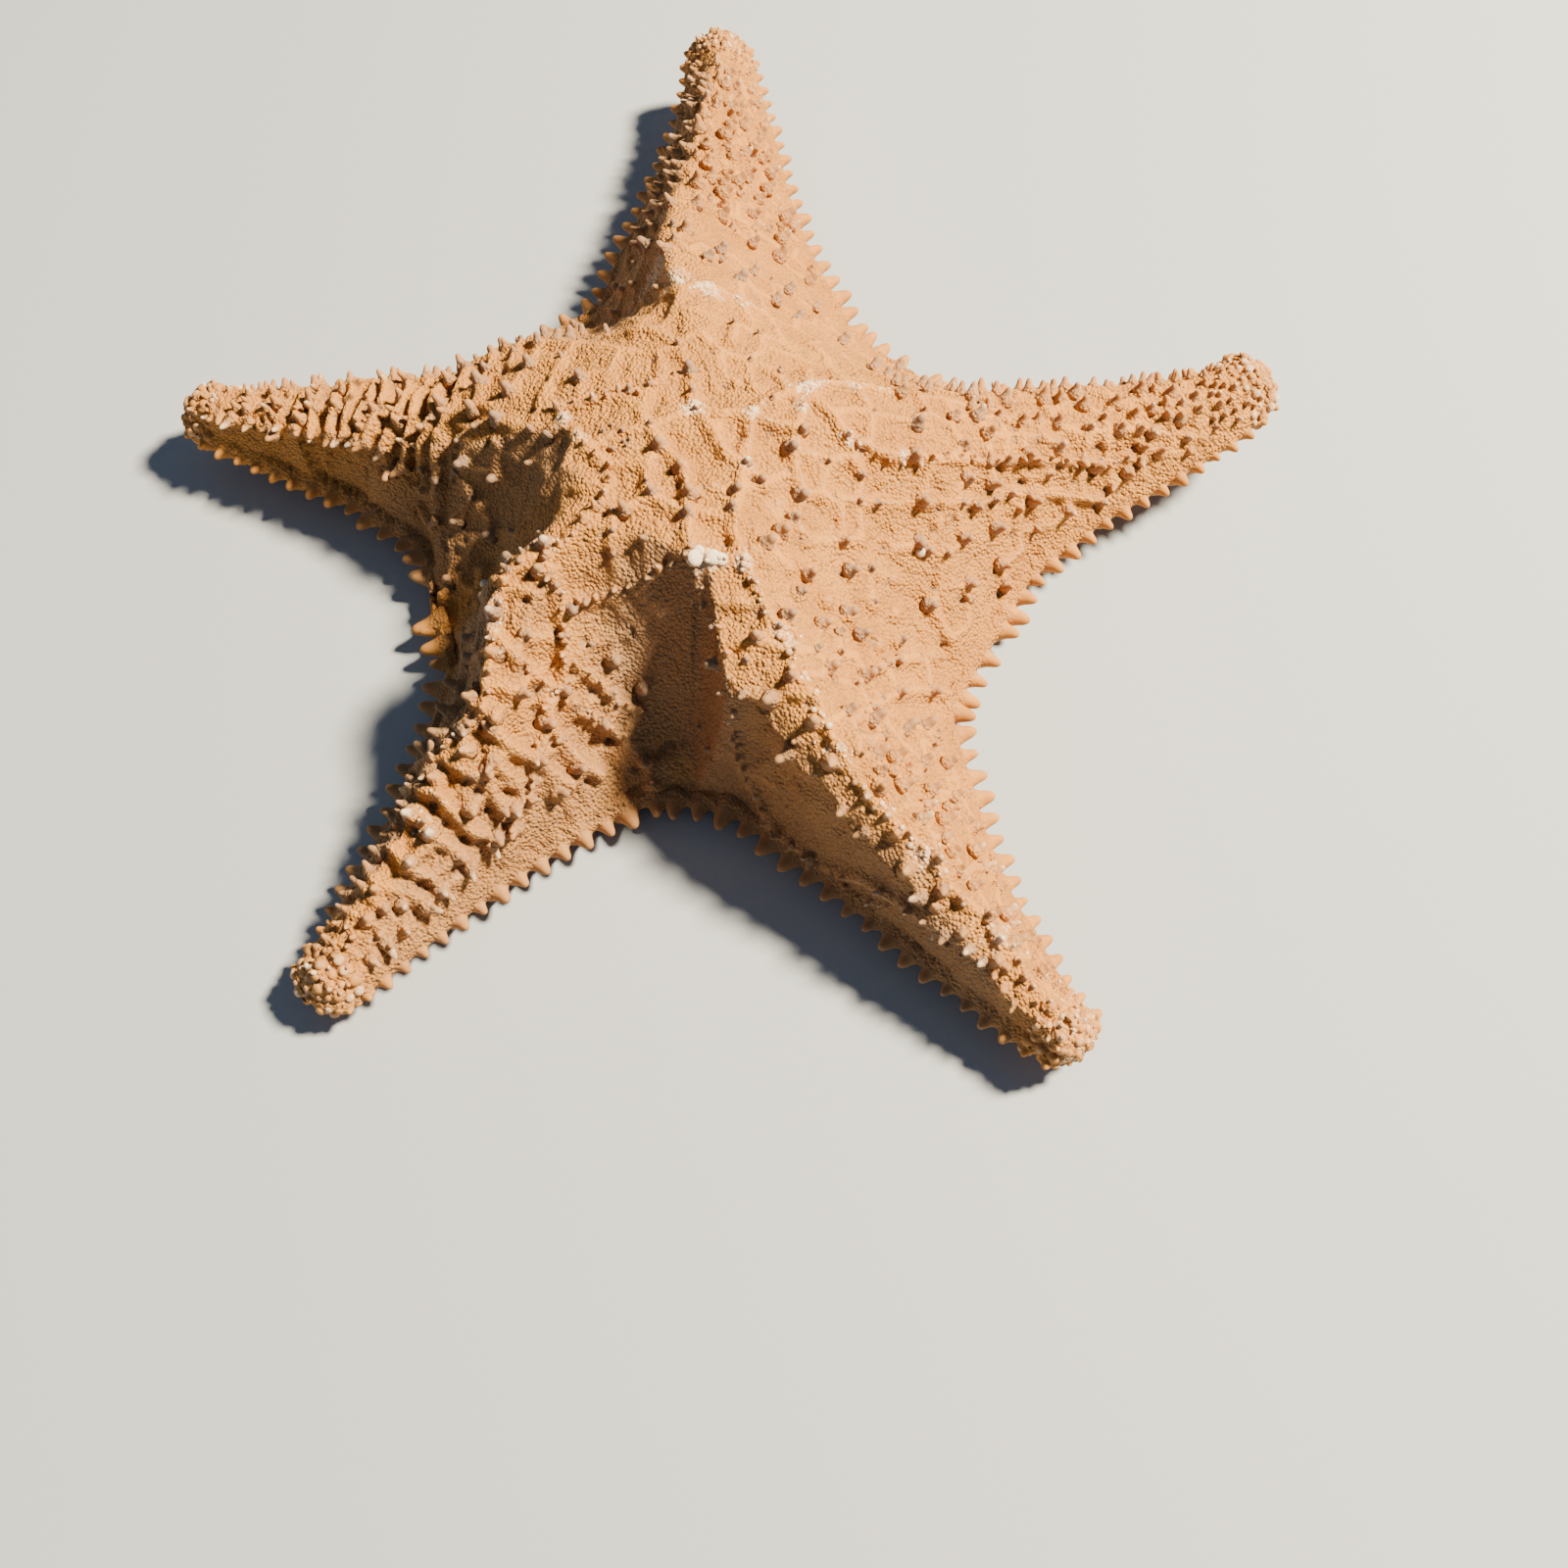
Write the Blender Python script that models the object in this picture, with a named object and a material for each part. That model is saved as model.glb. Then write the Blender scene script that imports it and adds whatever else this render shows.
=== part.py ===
"""A dried cushion sea star at life size, lying mouth down with its arm tips raised.

Metres, +Z up, the floor at z = 0. +Y points away from the viewer and +X to the right.
The origin is under the middle of the whole outline.
"""

import math
import random
from collections import namedtuple

import bmesh
import bpy
from mathutils import Vector

MM = 0.001

# The middle of the disc, seen from the middle of the whole outline.
STAR_CENTRE = Vector((-4.9 * MM, -18.7 * MM, 0.0))
DISC_HEIGHT = 57.0 * MM

# The edge of the body is a low wall: an upper edge, a middle line and a lower edge.
UPPER_EDGE_RISE = 3.2 * MM
UPPER_EDGE_INSET = 1.2 * MM
LOWER_EDGE_DROP = 3.6 * MM
LOWER_EDGE_INSET = 2.2 * MM

# The underside: a groove along each arm that runs into the mouth. It is flat for a share
# of its width beside the groove, and an arm lies on the floor for a share of its length.
GROOVE_DEPTH = 4.0 * MM
GROOVE_HALF_WIDTH = 4.2 * MM
GROOVE_SHARE_OF_TIP = 0.3
GROOVE_FLOOR_SHARE = 0.45
WIDEST_GROOVE = 0.4
MOUTH_ROW = 0.16
MOUTH_DEPTH = 6.0 * MM
FLAT_SHARE = 0.35
RESTING_SHARE = 0.2
UNDERSIDE_BEND = 1.8
EDGE_BEND = 1.4

# Where each arm is parted from the disc, as a share of the free arm, and the thin cut.
ARM_CUT = 0.085
CUT_GAP = 0.3 * MM

SKIN_COLOUR = (0.60, 0.37, 0.18, 1.0)
SKIN_ROUGHNESS = 0.85

# A notch is the inner end of the gap between two arms. Its margin height is that of
# the middle line. A steepness of 1 is a deep valley, whose wall starts at the rim, a
# share of the way from the disc's middle to the notch.
Notch = namedtuple("Notch", "angle radius margin_height steepness rim")
NOTCHES = {
    "near": Notch(-94.2, 69.6 * MM, 5.5 * MM, 1.0, 0.55),
    "right": Notch(-33.1, 72.1 * MM, 6.0 * MM, 0.05, 0.45),
    "far_right": Notch(53.1, 75.3 * MM, 10.0 * MM, 0.0, 0.45),
    "far_left": Notch(116.0, 81.5 * MM, 10.0 * MM, 0.55, 0.45),
    "left": Notch(200.8, 69.3 * MM, 6.0 * MM, 1.0, 0.50),
}

# A flank is how the top falls from the crest, at 0, to the upper edge, at 1: it loses
# the share named drop as far as the shoulder, then goes down in a curve. A bend over 1
# is hollow at its foot and one under 1 is full.
Flank = namedtuple("Flank", "shoulder drop bend")

# Each arm runs from the chord between its two notches to its tip. Its crest heights,
# sway and ridge are in millimetres at the even stations of ARM_STATIONS: sway and ridge
# are how far the middle and the crest lie to the left of a straight line, looking out.
# The flanks are the right and left ones, at the notches and along the free arm.
Arm = namedtuple("Arm", "name right_notch left_notch tip_angle reach tip_height girth"
                        " crest sway ridge notch_flanks arm_flanks")
ARM_STATIONS = (0.0, 0.2, 0.4, 0.6, 0.8, 1.0)
ARMS = (
    Arm("arm_near_right", "near", "right", 301.4, 152.0, 10.0, 1.0,
        (48.0, 42.5, 35.0, 27.5, 21.0, 15.5),
        (0.0, -0.5, -2.0, -2.8, -2.6, 0.0), (-11.0, -12.0, -9.5, -6.0, -3.5, 0.0),
        (Flank(0.57, 0.11, 2.2), Flank(0.08, 0.03, 1.1)),
        (Flank(0.80, 0.19, 0.55), Flank(0.15, 0.04, 0.95))),
    Arm("arm_right", "right", "far_right", 17.0, 145.0, 25.0, 1.2,
        (44.0, 36.0, 32.0, 30.0, 30.0, 31.0),
        (0.0, 1.0, 0.0, -2.2, -3.5, 0.0), (-2.0, -1.0, -1.0, -2.5, -3.5, 0.0),
        (Flank(0.20, 0.06, 1.15), Flank(0.25, 0.08, 1.2)),
        (Flank(0.40, 0.10, 1.0), Flank(0.45, 0.10, 0.8))),
    Arm("arm_far", "far_right", "far_left", 89.9, 171.5, 21.5, 1.2,
        (46.0, 42.0, 38.0, 34.0, 31.0, 28.0),
        (0.0, 3.0, 2.0, 0.0, -0.5, 0.0), (16.0, 12.0, 8.0, 5.0, 2.5, 0.0),
        (Flank(0.15, 0.05, 1.1), Flank(0.10, 0.04, 1.4)),
        (Flank(0.30, 0.10, 0.9), Flank(0.10, 0.03, 0.95))),
    Arm("arm_left", "far_left", "left", 163.5, 137.0, 14.5, 1.06,
        (45.0, 36.0, 31.0, 27.0, 23.5, 20.5),
        (0.0, 2.0, 1.0, 2.0, 2.5, 0.0), (8.0, 7.0, 5.0, 5.0, 4.0, 0.0),
        (Flank(0.35, 0.10, 1.3), Flank(0.30, 0.10, 1.8)),
        (Flank(0.40, 0.10, 0.8), Flank(0.65, 0.15, 0.6))),
    Arm("arm_near_left", "left", "near", 234.7, 144.0, 7.5, 1.0,
        (47.5, 39.0, 30.0, 22.5, 16.5, 13.0),
        (0.0, 0.7, 0.8, 0.8, 0.8, 0.0), (-12.0, -4.0, -3.5, -3.0, -1.5, 0.0),
        (Flank(0.16, 0.04, 1.7), Flank(0.15, 0.05, 1.25)),
        (Flank(0.12, 0.04, 0.95), Flank(0.35, 0.08, 0.85))),
)

# Half-widths of a free arm of girth 1, at shares of its length; the first follows the
# chord between its notches, less the drop given here for the rounding of the notch.
WIDTH_STATIONS = (0.0, 0.07, 0.2, 0.37, 0.55, 0.7, 0.85, 0.94)
ARM_HALF_WIDTHS = (None, None, 24.0, 18.6, 14.2, 11.2, 8.6, 7.2)
NOTCH_ROUNDING = 7.5 * MM
TIP_CAP_START = 0.94
LEAST_HALF_WIDTH = 5.0 * MM

# Shares of a free arm along which its rows turn square to it, its edge turns away from
# the notch, and its flanks change from those at the notches to those of the arm.
ROWS_TURN = 0.35
EDGE_TURN = 0.12
FLANKS_CHANGE = 0.35
DIRECTION_STEP = 0.02

# How much wider the shoulders are, as shares of a row, towards the disc's middle.
SHOULDER_WIDENING = 0.6

# How the top falls from the middle of the disc, 1, to the upper edge at a notch, 0,
# where the valley is gentle, and from the rim to the notch where it is steep.
VALLEY_STATIONS = (0.0, 0.3, 0.48, 0.6, 0.72, 0.86, 1.0)
VALLEY_GENTLE = (1.0, 0.92, 0.76, 0.60, 0.42, 0.20, 0.0)
WALL_STATIONS = (0.0, 0.22, 0.45, 0.72, 1.0)
WALL_HEIGHTS = (0.955, 0.74, 0.42, 0.15, 0.0)
RIM_DROP = 0.045

# The rows and columns of the solid surface.
DISC_ROWS = (MOUTH_ROW, 0.32, 0.46, 0.6, 0.74, 0.88, 1.0)
ARM_ROWS = (0.16, 0.25, 0.34, 0.43, 0.52, 0.61, 0.7, 0.78, 0.86, 0.94, 0.975, 0.993)
TOP_COLUMNS = (-1.0, -0.8, -0.6, -0.42, -0.22, 0.0, 0.22, 0.42, 0.6, 0.8, 1.0)
UNDER_COLUMNS = 4
SAME_POINT = 0.01 * MM

# Spines: one row of stout ones along the edge, tall ones on the arms and low knobs on
# the disc. Each is a blunt cone whose root is sunk in the body.
Spine = namedtuple("Spine", "length radius tip_radius spacing sides")
EDGE_SPINE = Spine(4.8 * MM, 2.1 * MM, 0.6 * MM, 6.2 * MM, 5)
EDGE_TIP_SPINE = Spine(2.1 * MM, 1.3 * MM, 0.5 * MM, 4.8 * MM, 5)
ARM_SPINE = Spine(3.0 * MM, 1.6 * MM, 0.5 * MM, 10.0 * MM, 4)
ARM_TIP_SPINE = Spine(2.0 * MM, 1.3 * MM, 0.5 * MM, 6.5 * MM, 4)
DISC_KNOB = Spine(2.2 * MM, 1.5 * MM, 0.6 * MM, 11.0 * MM, 4)
ROOT_DEPTH = 2.0 * MM
SIZE_VARIATION = 0.18
PLACE_VARIATION = 0.15
EDGE_SPINE_RISE = 0.22
EDGE_SPINE_RISE_RANGE = (0.4, 1.6)
EDGE_STEP = 0.004
LAST_SPINE_ROW = 1.975
TOP_SPINE_LIMIT = 0.86
ARC_OVER_WIDTH = 1.1
STAGGER = 0.25
FIRST_KNOB_ROW = 0.78
CUT_CLEARANCE = 0.7 * MM
SLIDE_STEP = 0.002
RANDOM_SEED = 7

# The knobs of the disc inside the rows near its edge, in millimetres from its middle.
DISC_KNOBS = (
    (22, -34), (31, -29), (30, -23), (31, -39), (16, -28), (13, -32), (19, -23), (12, -17),
    (-34, -31), (-35, 0), (-29, 14), (48, -16), (-10, -8), (20, -2), (19, -7), (21, -17),
    (8, -13), (7, -20), (6, -25), (-5, -14), (-4, -21), (-12, -21), (-17, -24), (-4, -26),
    (-4, 13),
)


def smooth_curve(stations, values, x):
    """Read a curve that passes through the values without overshooting them."""
    if x <= stations[0]:
        return values[0]
    if x >= stations[-1]:
        return values[-1]
    last = len(stations) - 1
    widths = [stations[i + 1] - stations[i] for i in range(last)]
    slopes = [(values[i + 1] - values[i]) / widths[i] for i in range(last)]
    i = next(k for k in range(last) if x <= stations[k + 1])

    def tangent(k):
        if k == 0 or k == last:
            return slopes[min(k, last - 1)]
        before, after = slopes[k - 1], slopes[k]
        if before * after <= 0.0:
            return 0.0
        return 2.0 * before * after / (before + after)

    share = (x - stations[i]) / widths[i]
    start, end = values[i], values[i + 1]
    lead_in = tangent(i) * widths[i]
    lead_out = tangent(i + 1) * widths[i]
    return (
        start * (2 * share ** 3 - 3 * share ** 2 + 1)
        + lead_in * (share ** 3 - 2 * share ** 2 + share)
        + end * (3 * share ** 2 - 2 * share ** 3)
        + lead_out * (share ** 3 - share ** 2)
    )


def ease(x):
    """Go smoothly from 0 to 1."""
    x = min(max(x, 0.0), 1.0)
    return x * x * (3.0 - 2.0 * x)


def mix(a, b, share):
    return a + (b - a) * share


def steep_valley(row, rim):
    """The height left at a row of a steep valley: flat as far as its rim, then a wall."""
    if row < rim:
        return 1.0 - RIM_DROP * (row / rim) ** 2
    return smooth_curve(WALL_STATIONS, WALL_HEIGHTS, (row - rim) / (1.0 - rim))


def heading(degrees):
    return Vector((math.cos(math.radians(degrees)), math.sin(math.radians(degrees)), 0.0))


def across(direction):
    """The direction a quarter turn to the left of a level direction."""
    return Vector((-direction.y, direction.x, 0.0))


class ArmShape:
    """One fifth of the star: a sector of the disc and the free arm beyond it.

    A row is 0 at the middle of the disc, 1 on the chord between the notches and 2 at
    the tip. Across a row, t runs from -1 at the right edge to 1 at the left edge.
    """

    def __init__(self, arm):
        self.arm = arm
        self.notches = {-1: NOTCHES[arm.right_notch], 1: NOTCHES[arm.left_notch]}
        self.corners = {side: heading(n.angle) * n.radius for side, n in self.notches.items()}
        self.base = (self.corners[-1] + self.corners[1]) / 2
        self.tip = heading(arm.tip_angle) * arm.reach * MM
        self.axis = (self.tip - self.base).normalized()
        self.length = (self.tip - self.base).length
        self.half_chord = (self.corners[1] - self.corners[-1]).length / 2

    def centre(self, u):
        sway = smooth_curve(ARM_STATIONS, self.arm.sway, u) * MM
        return self.base.lerp(self.tip, u) + across(self.axis) * sway

    def row_direction(self, u):
        chord = (self.corners[1] - self.corners[-1]).normalized()
        before, beyond = max(u - DIRECTION_STEP, 0.0), min(u + DIRECTION_STEP, 1.0)
        square = across((self.centre(beyond) - self.centre(before)).normalized())
        return chord.lerp(square, ease(u / ROWS_TURN)).normalized()

    def tip_cap(self, u):
        """Shrink the last of the arm into a rounded end."""
        share = min(max((u - TIP_CAP_START) / (1.0 - TIP_CAP_START), 0.0), 1.0)
        return math.sqrt(max(1.0 - share * share, 0.0))

    def half_width(self, u):
        widths = [w and w * self.arm.girth * MM for w in ARM_HALF_WIDTHS]
        widths[0] = self.half_chord
        widths[1] = self.half_chord - NOTCH_ROUNDING
        return smooth_curve(WIDTH_STATIONS, widths, u) * self.tip_cap(u)

    def middle_line_height(self, u, side):
        start = self.notches[side].margin_height
        return mix(start, self.arm.tip_height * MM, u ** EDGE_BEND)

    def crest_height(self, row):
        if row <= 1.0:
            return mix(DISC_HEIGHT, self.arm.crest[0] * MM, row ** 2)
        u = row - 1.0
        height = smooth_curve(ARM_STATIONS, self.arm.crest, u) * MM
        return mix(self.arm.tip_height * MM, height, self.tip_cap(u))

    def underside_height(self, row):
        """The level of the strips beside the groove: flat under the disc, then rising."""
        u = max(row - 1.0, 0.0)
        tip_height = self.arm.tip_height * MM
        half_tip = self.arm.crest[-1] * MM - tip_height
        raised = max((u - RESTING_SHARE) / (1.0 - RESTING_SHARE), 0.0)
        lift = (tip_height - half_tip) * raised ** UNDERSIDE_BEND
        return mix(tip_height, lift, self.tip_cap(u))

    def edge_plan(self, row, side, inset):
        """The plan of a line along the edge, set in from its middle line."""
        inward = -heading(self.notches[side].angle)
        if row <= 1.0:
            return (self.corners[side] + inward * inset) * row
        u = row - 1.0
        direction = self.row_direction(u)
        turned = inward.lerp(direction * -side, ease(u / EDGE_TURN)).normalized()
        point = self.centre(u) + direction * side * self.half_width(u)
        return point + turned * inset * self.tip_cap(u)

    def upper_edge(self, row, side):
        notch = self.notches[side]
        point = self.edge_plan(row, side, UPPER_EDGE_INSET)
        if row <= 1.0:
            low = notch.margin_height + UPPER_EDGE_RISE
            gentle = smooth_curve(VALLEY_STATIONS, VALLEY_GENTLE, row)
            steep = steep_valley(row, notch.rim)
            point.z = mix(low, DISC_HEIGHT, mix(gentle, steep, notch.steepness))
        else:
            u = row - 1.0
            point.z = self.middle_line_height(u, side) + UPPER_EDGE_RISE * self.tip_cap(u)
        return point

    def middle_line(self, row, side):
        point = self.edge_plan(row, side, 0.0)
        point.z = self.middle_line_height(row - 1.0, side)
        return point

    def lower_edge(self, row, side):
        point = self.edge_plan(row, side, LOWER_EDGE_INSET)
        if row <= 1.0:
            point.z = (self.notches[side].margin_height - LOWER_EDGE_DROP) * row ** 3
        else:
            u = row - 1.0
            low = self.middle_line_height(u, side) - LOWER_EDGE_DROP * self.tip_cap(u)
            point.z = max(low, self.underside_height(row))
        return point

    def fall(self, row, side, share):
        """The height left, from 1 at the crest to 0 at the upper edge."""
        index = 0 if side < 0 else 1
        free = ease((row - 1.0) / FLANKS_CHANGE)
        start, end = self.arm.notch_flanks[index], self.arm.arm_flanks[index]
        shoulder, drop, bend = (mix(a, b, free) for a, b in zip(start, end))
        shoulder *= 1.0 + SHOULDER_WIDENING * max(1.0 - row, 0.0)
        if share < shoulder:
            return 1.0 - drop * (share / shoulder) ** 2
        return (1.0 - drop) * ((1.0 - share) / (1.0 - shoulder)) ** bend

    def crest_share(self, row):
        """Where the crest runs between the right edge, -1, and the left edge, 1."""
        u = max(row - 1.0, 0.0)
        ridge = smooth_curve(ARM_STATIONS, self.arm.ridge, u)
        sway = smooth_curve(ARM_STATIONS, self.arm.sway, u)
        return (ridge - sway) * MM / max(self.half_width(u), LEAST_HALF_WIDTH)

    def top(self, row, t):
        right, left = self.upper_edge(row, -1), self.upper_edge(row, 1)
        point = right.lerp(left, (t + 1.0) / 2)
        crest = self.crest_share(row)
        side = -1 if t < crest else 1
        edge = right if side < 0 else left
        share = (t - crest) / (side - crest)
        point.z = mix(edge.z, self.crest_height(row), self.fall(row, side, share))
        return point

    def top_normal(self, row, t):
        """The direction that the top faces, from the points around one point."""
        row_step, t_step = 0.01, 0.03
        along = self.top(row + row_step, t) - self.top(row - row_step, t)
        aside = self.top(row, min(t + t_step, 1.0)) - self.top(row, max(t - t_step, -1.0))
        return along.cross(aside).normalized()

    def disc_place(self, x, y):
        """The row and t of a plan point, or None where it isn't in this sector's disc."""
        right, left = (self.edge_plan(1.0, side, UPPER_EDGE_INSET) for side in (-1, 1))
        area = right.x * left.y - right.y * left.x
        right_share = (x * left.y - y * left.x) / area
        left_share = (right.x * y - right.y * x) / area
        row = right_share + left_share
        if min(right_share, left_share) < 0.0 or row > 1.0:
            return None
        return row, (left_share - right_share) / row

    def groove_half_width(self, row):
        narrowing = mix(1.0, GROOVE_SHARE_OF_TIP, row / 2.0)
        return GROOVE_HALF_WIDTH * narrowing * min(row / MOUTH_ROW, 1.0)

    def underside_row(self, row, columns):
        """Points across the underside from right to left: edge, strip, groove, strip, edge."""
        right, left = self.lower_edge(row, -1), self.lower_edge(row, 1)
        middle = (right + left) / 2
        level = self.underside_height(row)
        cap = self.tip_cap(max(row - 1.0, 0.0))
        half = (left - right).length / 2
        lip = min(self.groove_half_width(row) / half, WIDEST_GROOVE) if half else WIDEST_GROOVE
        depth = mix(GROOVE_DEPTH, GROOVE_DEPTH * GROOVE_SHARE_OF_TIP, row / 2.0) * cap
        points = []
        for side, edge in ((-1, right), (1, left)):
            strip = []
            for step in range(columns + 1):
                share = mix(1.0, lip, step / columns)
                point = middle.lerp(edge, share)
                outward = (share - lip) / (1.0 - lip)
                point.z = mix(level, edge.z, ease((outward - FLAT_SHARE) / (1.0 - FLAT_SHARE)))
                strip.append(point)
            floor = middle.lerp(edge, lip * GROOVE_FLOOR_SHARE)
            floor.z = level + depth
            strip.append(floor)
            points.extend(strip if side == -1 else strip[::-1])
        return points

    def section(self, row, top_columns=TOP_COLUMNS, under_columns=UNDER_COLUMNS):
        """The closed outline of a row beyond the notches, anticlockwise from behind."""
        loop = [self.top(row, t) for t in top_columns]
        loop.append(self.middle_line(row, 1))
        loop.extend(reversed(self.underside_row(row, under_columns)))
        loop.append(self.middle_line(row, -1))
        return loop

    def cut_section(self, clearance):
        """The outline at the cut from the disc, moved outwards by the clearance."""
        row = 1.0 + ARM_CUT
        outward = across(self.row_direction(ARM_CUT)) * -1.0
        return [point + outward * clearance for point in self.section(row)]


class SurfaceMesh:
    """Collects points and faces in the star's own place and makes one closed mesh."""

    def __init__(self):
        self.mesh = bmesh.new()

    def row(self, points):
        return [self.mesh.verts.new(point + STAR_CENTRE) for point in points]

    def face(self, corners):
        self.mesh.faces.new(corners)

    def strip(self, first, second):
        """Join two open rows of equal length."""
        for i in range(len(first) - 1):
            self.face((first[i], first[i + 1], second[i + 1], second[i]))

    def band(self, first, second):
        """Join two closed loops of equal length."""
        self.strip(first + first[:1], second + second[:1])

    def fan(self, row, tip):
        for i in range(len(row) - 1):
            self.face((row[i], row[i + 1], tip))

    def finish(self, name):
        bmesh.ops.remove_doubles(self.mesh, verts=self.mesh.verts, dist=SAME_POINT)
        bmesh.ops.triangulate(self.mesh, faces=self.mesh.faces)
        bmesh.ops.recalc_face_normals(self.mesh, faces=self.mesh.faces)
        data = bpy.data.meshes.new(name)
        self.mesh.to_mesh(data)
        self.mesh.free()
        return bpy.data.objects.new(name, data)


class SpinePlanner:
    """Decides where the spines of one arm's share of the star stand."""

    def __init__(self, shape):
        self.shape = shape
        self.draw = random.Random(f"{RANDOM_SEED} {shape.arm.name}")
        cut = shape.row_direction(ARM_CUT)
        self.outward = across(cut) * -1.0
        self.cut_point = shape.centre(ARM_CUT)

    def varied(self, spine):
        size = 1.0 + self.draw.uniform(-SIZE_VARIATION, SIZE_VARIATION)
        return spine._replace(length=spine.length * size, radius=spine.radius * size)

    def even_rows(self, curve, first, last, spine, last_spine):
        """Rows along a curve, spaced as the two spines ask, half a space from each end."""
        samples = 80
        rows = [mix(first, last, i / samples) for i in range(samples + 1)]
        count = [0.0]
        for i in range(samples):
            spacing = mix(spine.spacing, last_spine.spacing, i / samples)
            count.append(count[-1] + (curve(rows[i + 1]) - curve(rows[i])).length / spacing)
        total = max(round(count[-1]), 1)
        marks = [(k + 0.5) / total * count[-1] for k in range(total)]
        return [smooth_curve(count, rows, mark) for mark in marks]

    def edge_spines(self, first, last, spine, last_spine):
        for side in (-1, 1):
            def curve(row):
                return self.shape.middle_line(row, side)
            for row in self.even_rows(curve, first, last, spine, last_spine):
                row = self.clear_of_cut(curve, row, spine.radius)
                along = curve(row + EDGE_STEP) - curve(row - EDGE_STEP)
                along.z = 0.0
                outward = across(along.normalized()) * side
                rise = EDGE_SPINE_RISE * self.draw.uniform(*EDGE_SPINE_RISE_RANGE)
                outward = (outward + Vector((0.0, 0.0, rise))).normalized()
                share = (row - first) / (last - first)
                sizes = (mix(a, b, share) for a, b in zip(spine, last_spine))
                yield curve(row), outward, self.varied(Spine(*sizes))

    def clear_of_cut(self, curve, row, radius):
        """Slide a row along the edge until a spine there stays on its side of the cut."""
        away = 1.0 if row > 1.0 + ARM_CUT else -1.0
        while abs((curve(row) - self.cut_point).dot(self.outward)) < radius + CUT_CLEARANCE:
            row += away * SLIDE_STEP
        return row

    def top_spines(self, first, last, spine, last_spine):
        def crest(row):
            return self.shape.top(row, self.shape.crest_share(row))
        rows = self.even_rows(crest, first, last, spine, last_spine)
        for index, middle_row in enumerate(rows):
            share = (middle_row - first) / (last - first)
            kind = Spine(*(mix(a, b, share) for a, b in zip(spine, last_spine)))
            width = (self.shape.top(middle_row, 1.0) - self.shape.top(middle_row, -1.0)).length
            count = max(round(width * ARC_OVER_WIDTH / kind.spacing), 1)
            step = 2.0 * TOP_SPINE_LIMIT / count
            shift = STAGGER if index % 2 else -STAGGER
            for place in range(count):
                wander = self.draw.uniform(-PLACE_VARIATION, PLACE_VARIATION)
                t = -TOP_SPINE_LIMIT + step * (place + 0.5 + shift + wander)
                wander = self.draw.uniform(-PLACE_VARIATION, PLACE_VARIATION)
                row = middle_row + wander * (last - first) / len(rows)
                yield self.shape.top(row, t), self.shape.top_normal(row, t), self.varied(kind)

    def disc_knobs(self):
        places = [self.shape.disc_place(x * MM, y * MM) for x, y in DISC_KNOBS]
        for row, t in filter(None, places):
            yield self.shape.top(row, t), self.shape.top_normal(row, t), self.varied(DISC_KNOB)

    def disc_spines(self):
        yield from self.edge_spines(1.0, 1.0 + ARM_CUT, EDGE_SPINE, EDGE_SPINE)
        yield from self.disc_knobs()
        knobs = self.top_spines(FIRST_KNOB_ROW, 1.0 + ARM_CUT, DISC_KNOB, DISC_KNOB)
        yield from (knob for knob in knobs if -self.beyond_cut(knob) > CUT_CLEARANCE)

    def arm_spines(self):
        start = 1.0 + ARM_CUT
        yield from self.edge_spines(start, LAST_SPINE_ROW, EDGE_SPINE, EDGE_TIP_SPINE)
        spines = self.top_spines(start, LAST_SPINE_ROW, ARM_SPINE, ARM_TIP_SPINE)
        yield from (spine for spine in spines if self.beyond_cut(spine) > CUT_CLEARANCE)

    def beyond_cut(self, planned):
        """How far the nearest side of a spine stands from the cut, towards the arm."""
        root, direction, spine = planned
        reach = [(point - self.cut_point).dot(self.outward)
                 for point in (root, root + direction * spine.length)]
        if min(reach) > 0.0:
            return min(reach) - spine.radius
        return max(reach) + spine.radius


def make_spine(root, direction, spine):
    """A blunt cone that stands on the root point and reaches down below it."""
    mesh = bmesh.new()
    turn = direction.to_track_quat("Z", "Y").to_matrix().to_4x4()
    bmesh.ops.create_cone(
        mesh,
        cap_ends=True,
        segments=round(spine.sides),
        radius1=spine.radius,
        radius2=spine.tip_radius,
        depth=spine.length + ROOT_DEPTH,
        matrix=turn,
    )
    middle = root + STAR_CENTRE + direction * (spine.length - ROOT_DEPTH) / 2
    bmesh.ops.translate(mesh, vec=middle, verts=mesh.verts)
    bmesh.ops.triangulate(mesh, faces=mesh.faces)
    data = bpy.data.meshes.new("spine")
    mesh.to_mesh(data)
    mesh.free()
    return bpy.data.objects.new("spine", data)


def keep_largest_surface(data):
    """Remove all but the largest closed surface of a mesh."""
    mesh = bmesh.new()
    mesh.from_mesh(data)
    left = set(mesh.verts)
    surfaces = []
    while left:
        found = {left.pop()}
        edge = set(found)
        while edge:
            edge = {e.other_vert(v) for v in edge for e in v.link_edges} & left
            left -= edge
            found |= edge
        surfaces.append(found)
    largest = max(surfaces, key=len)
    scraps = [v for surface in surfaces if surface is not largest for v in surface]
    bmesh.ops.delete(mesh, geom=scraps, context="VERTS")
    mesh.to_mesh(data)
    mesh.free()


def join_spines(body, planned):
    """Fuse the planned spines with the body, so that the node is one closed surface."""
    spines = bpy.data.collections.new("spines")
    bpy.context.scene.collection.children.link(spines)
    for plan in planned:
        spines.objects.link(make_spine(*plan))
    union = body.modifiers.new("spines", "BOOLEAN")
    union.operation = "UNION"
    union.operand_type = "COLLECTION"
    union.collection = spines
    union.solver = "EXACT"
    bpy.context.view_layer.update()
    evaluated = body.evaluated_get(bpy.context.evaluated_depsgraph_get())
    joined = bpy.data.meshes.new_from_object(evaluated)
    body.modifiers.remove(union)
    body.data = joined
    keep_largest_surface(joined)
    for spine in list(spines.objects):
        bpy.data.objects.remove(spine, do_unlink=True)
    bpy.data.collections.remove(spines)


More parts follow.
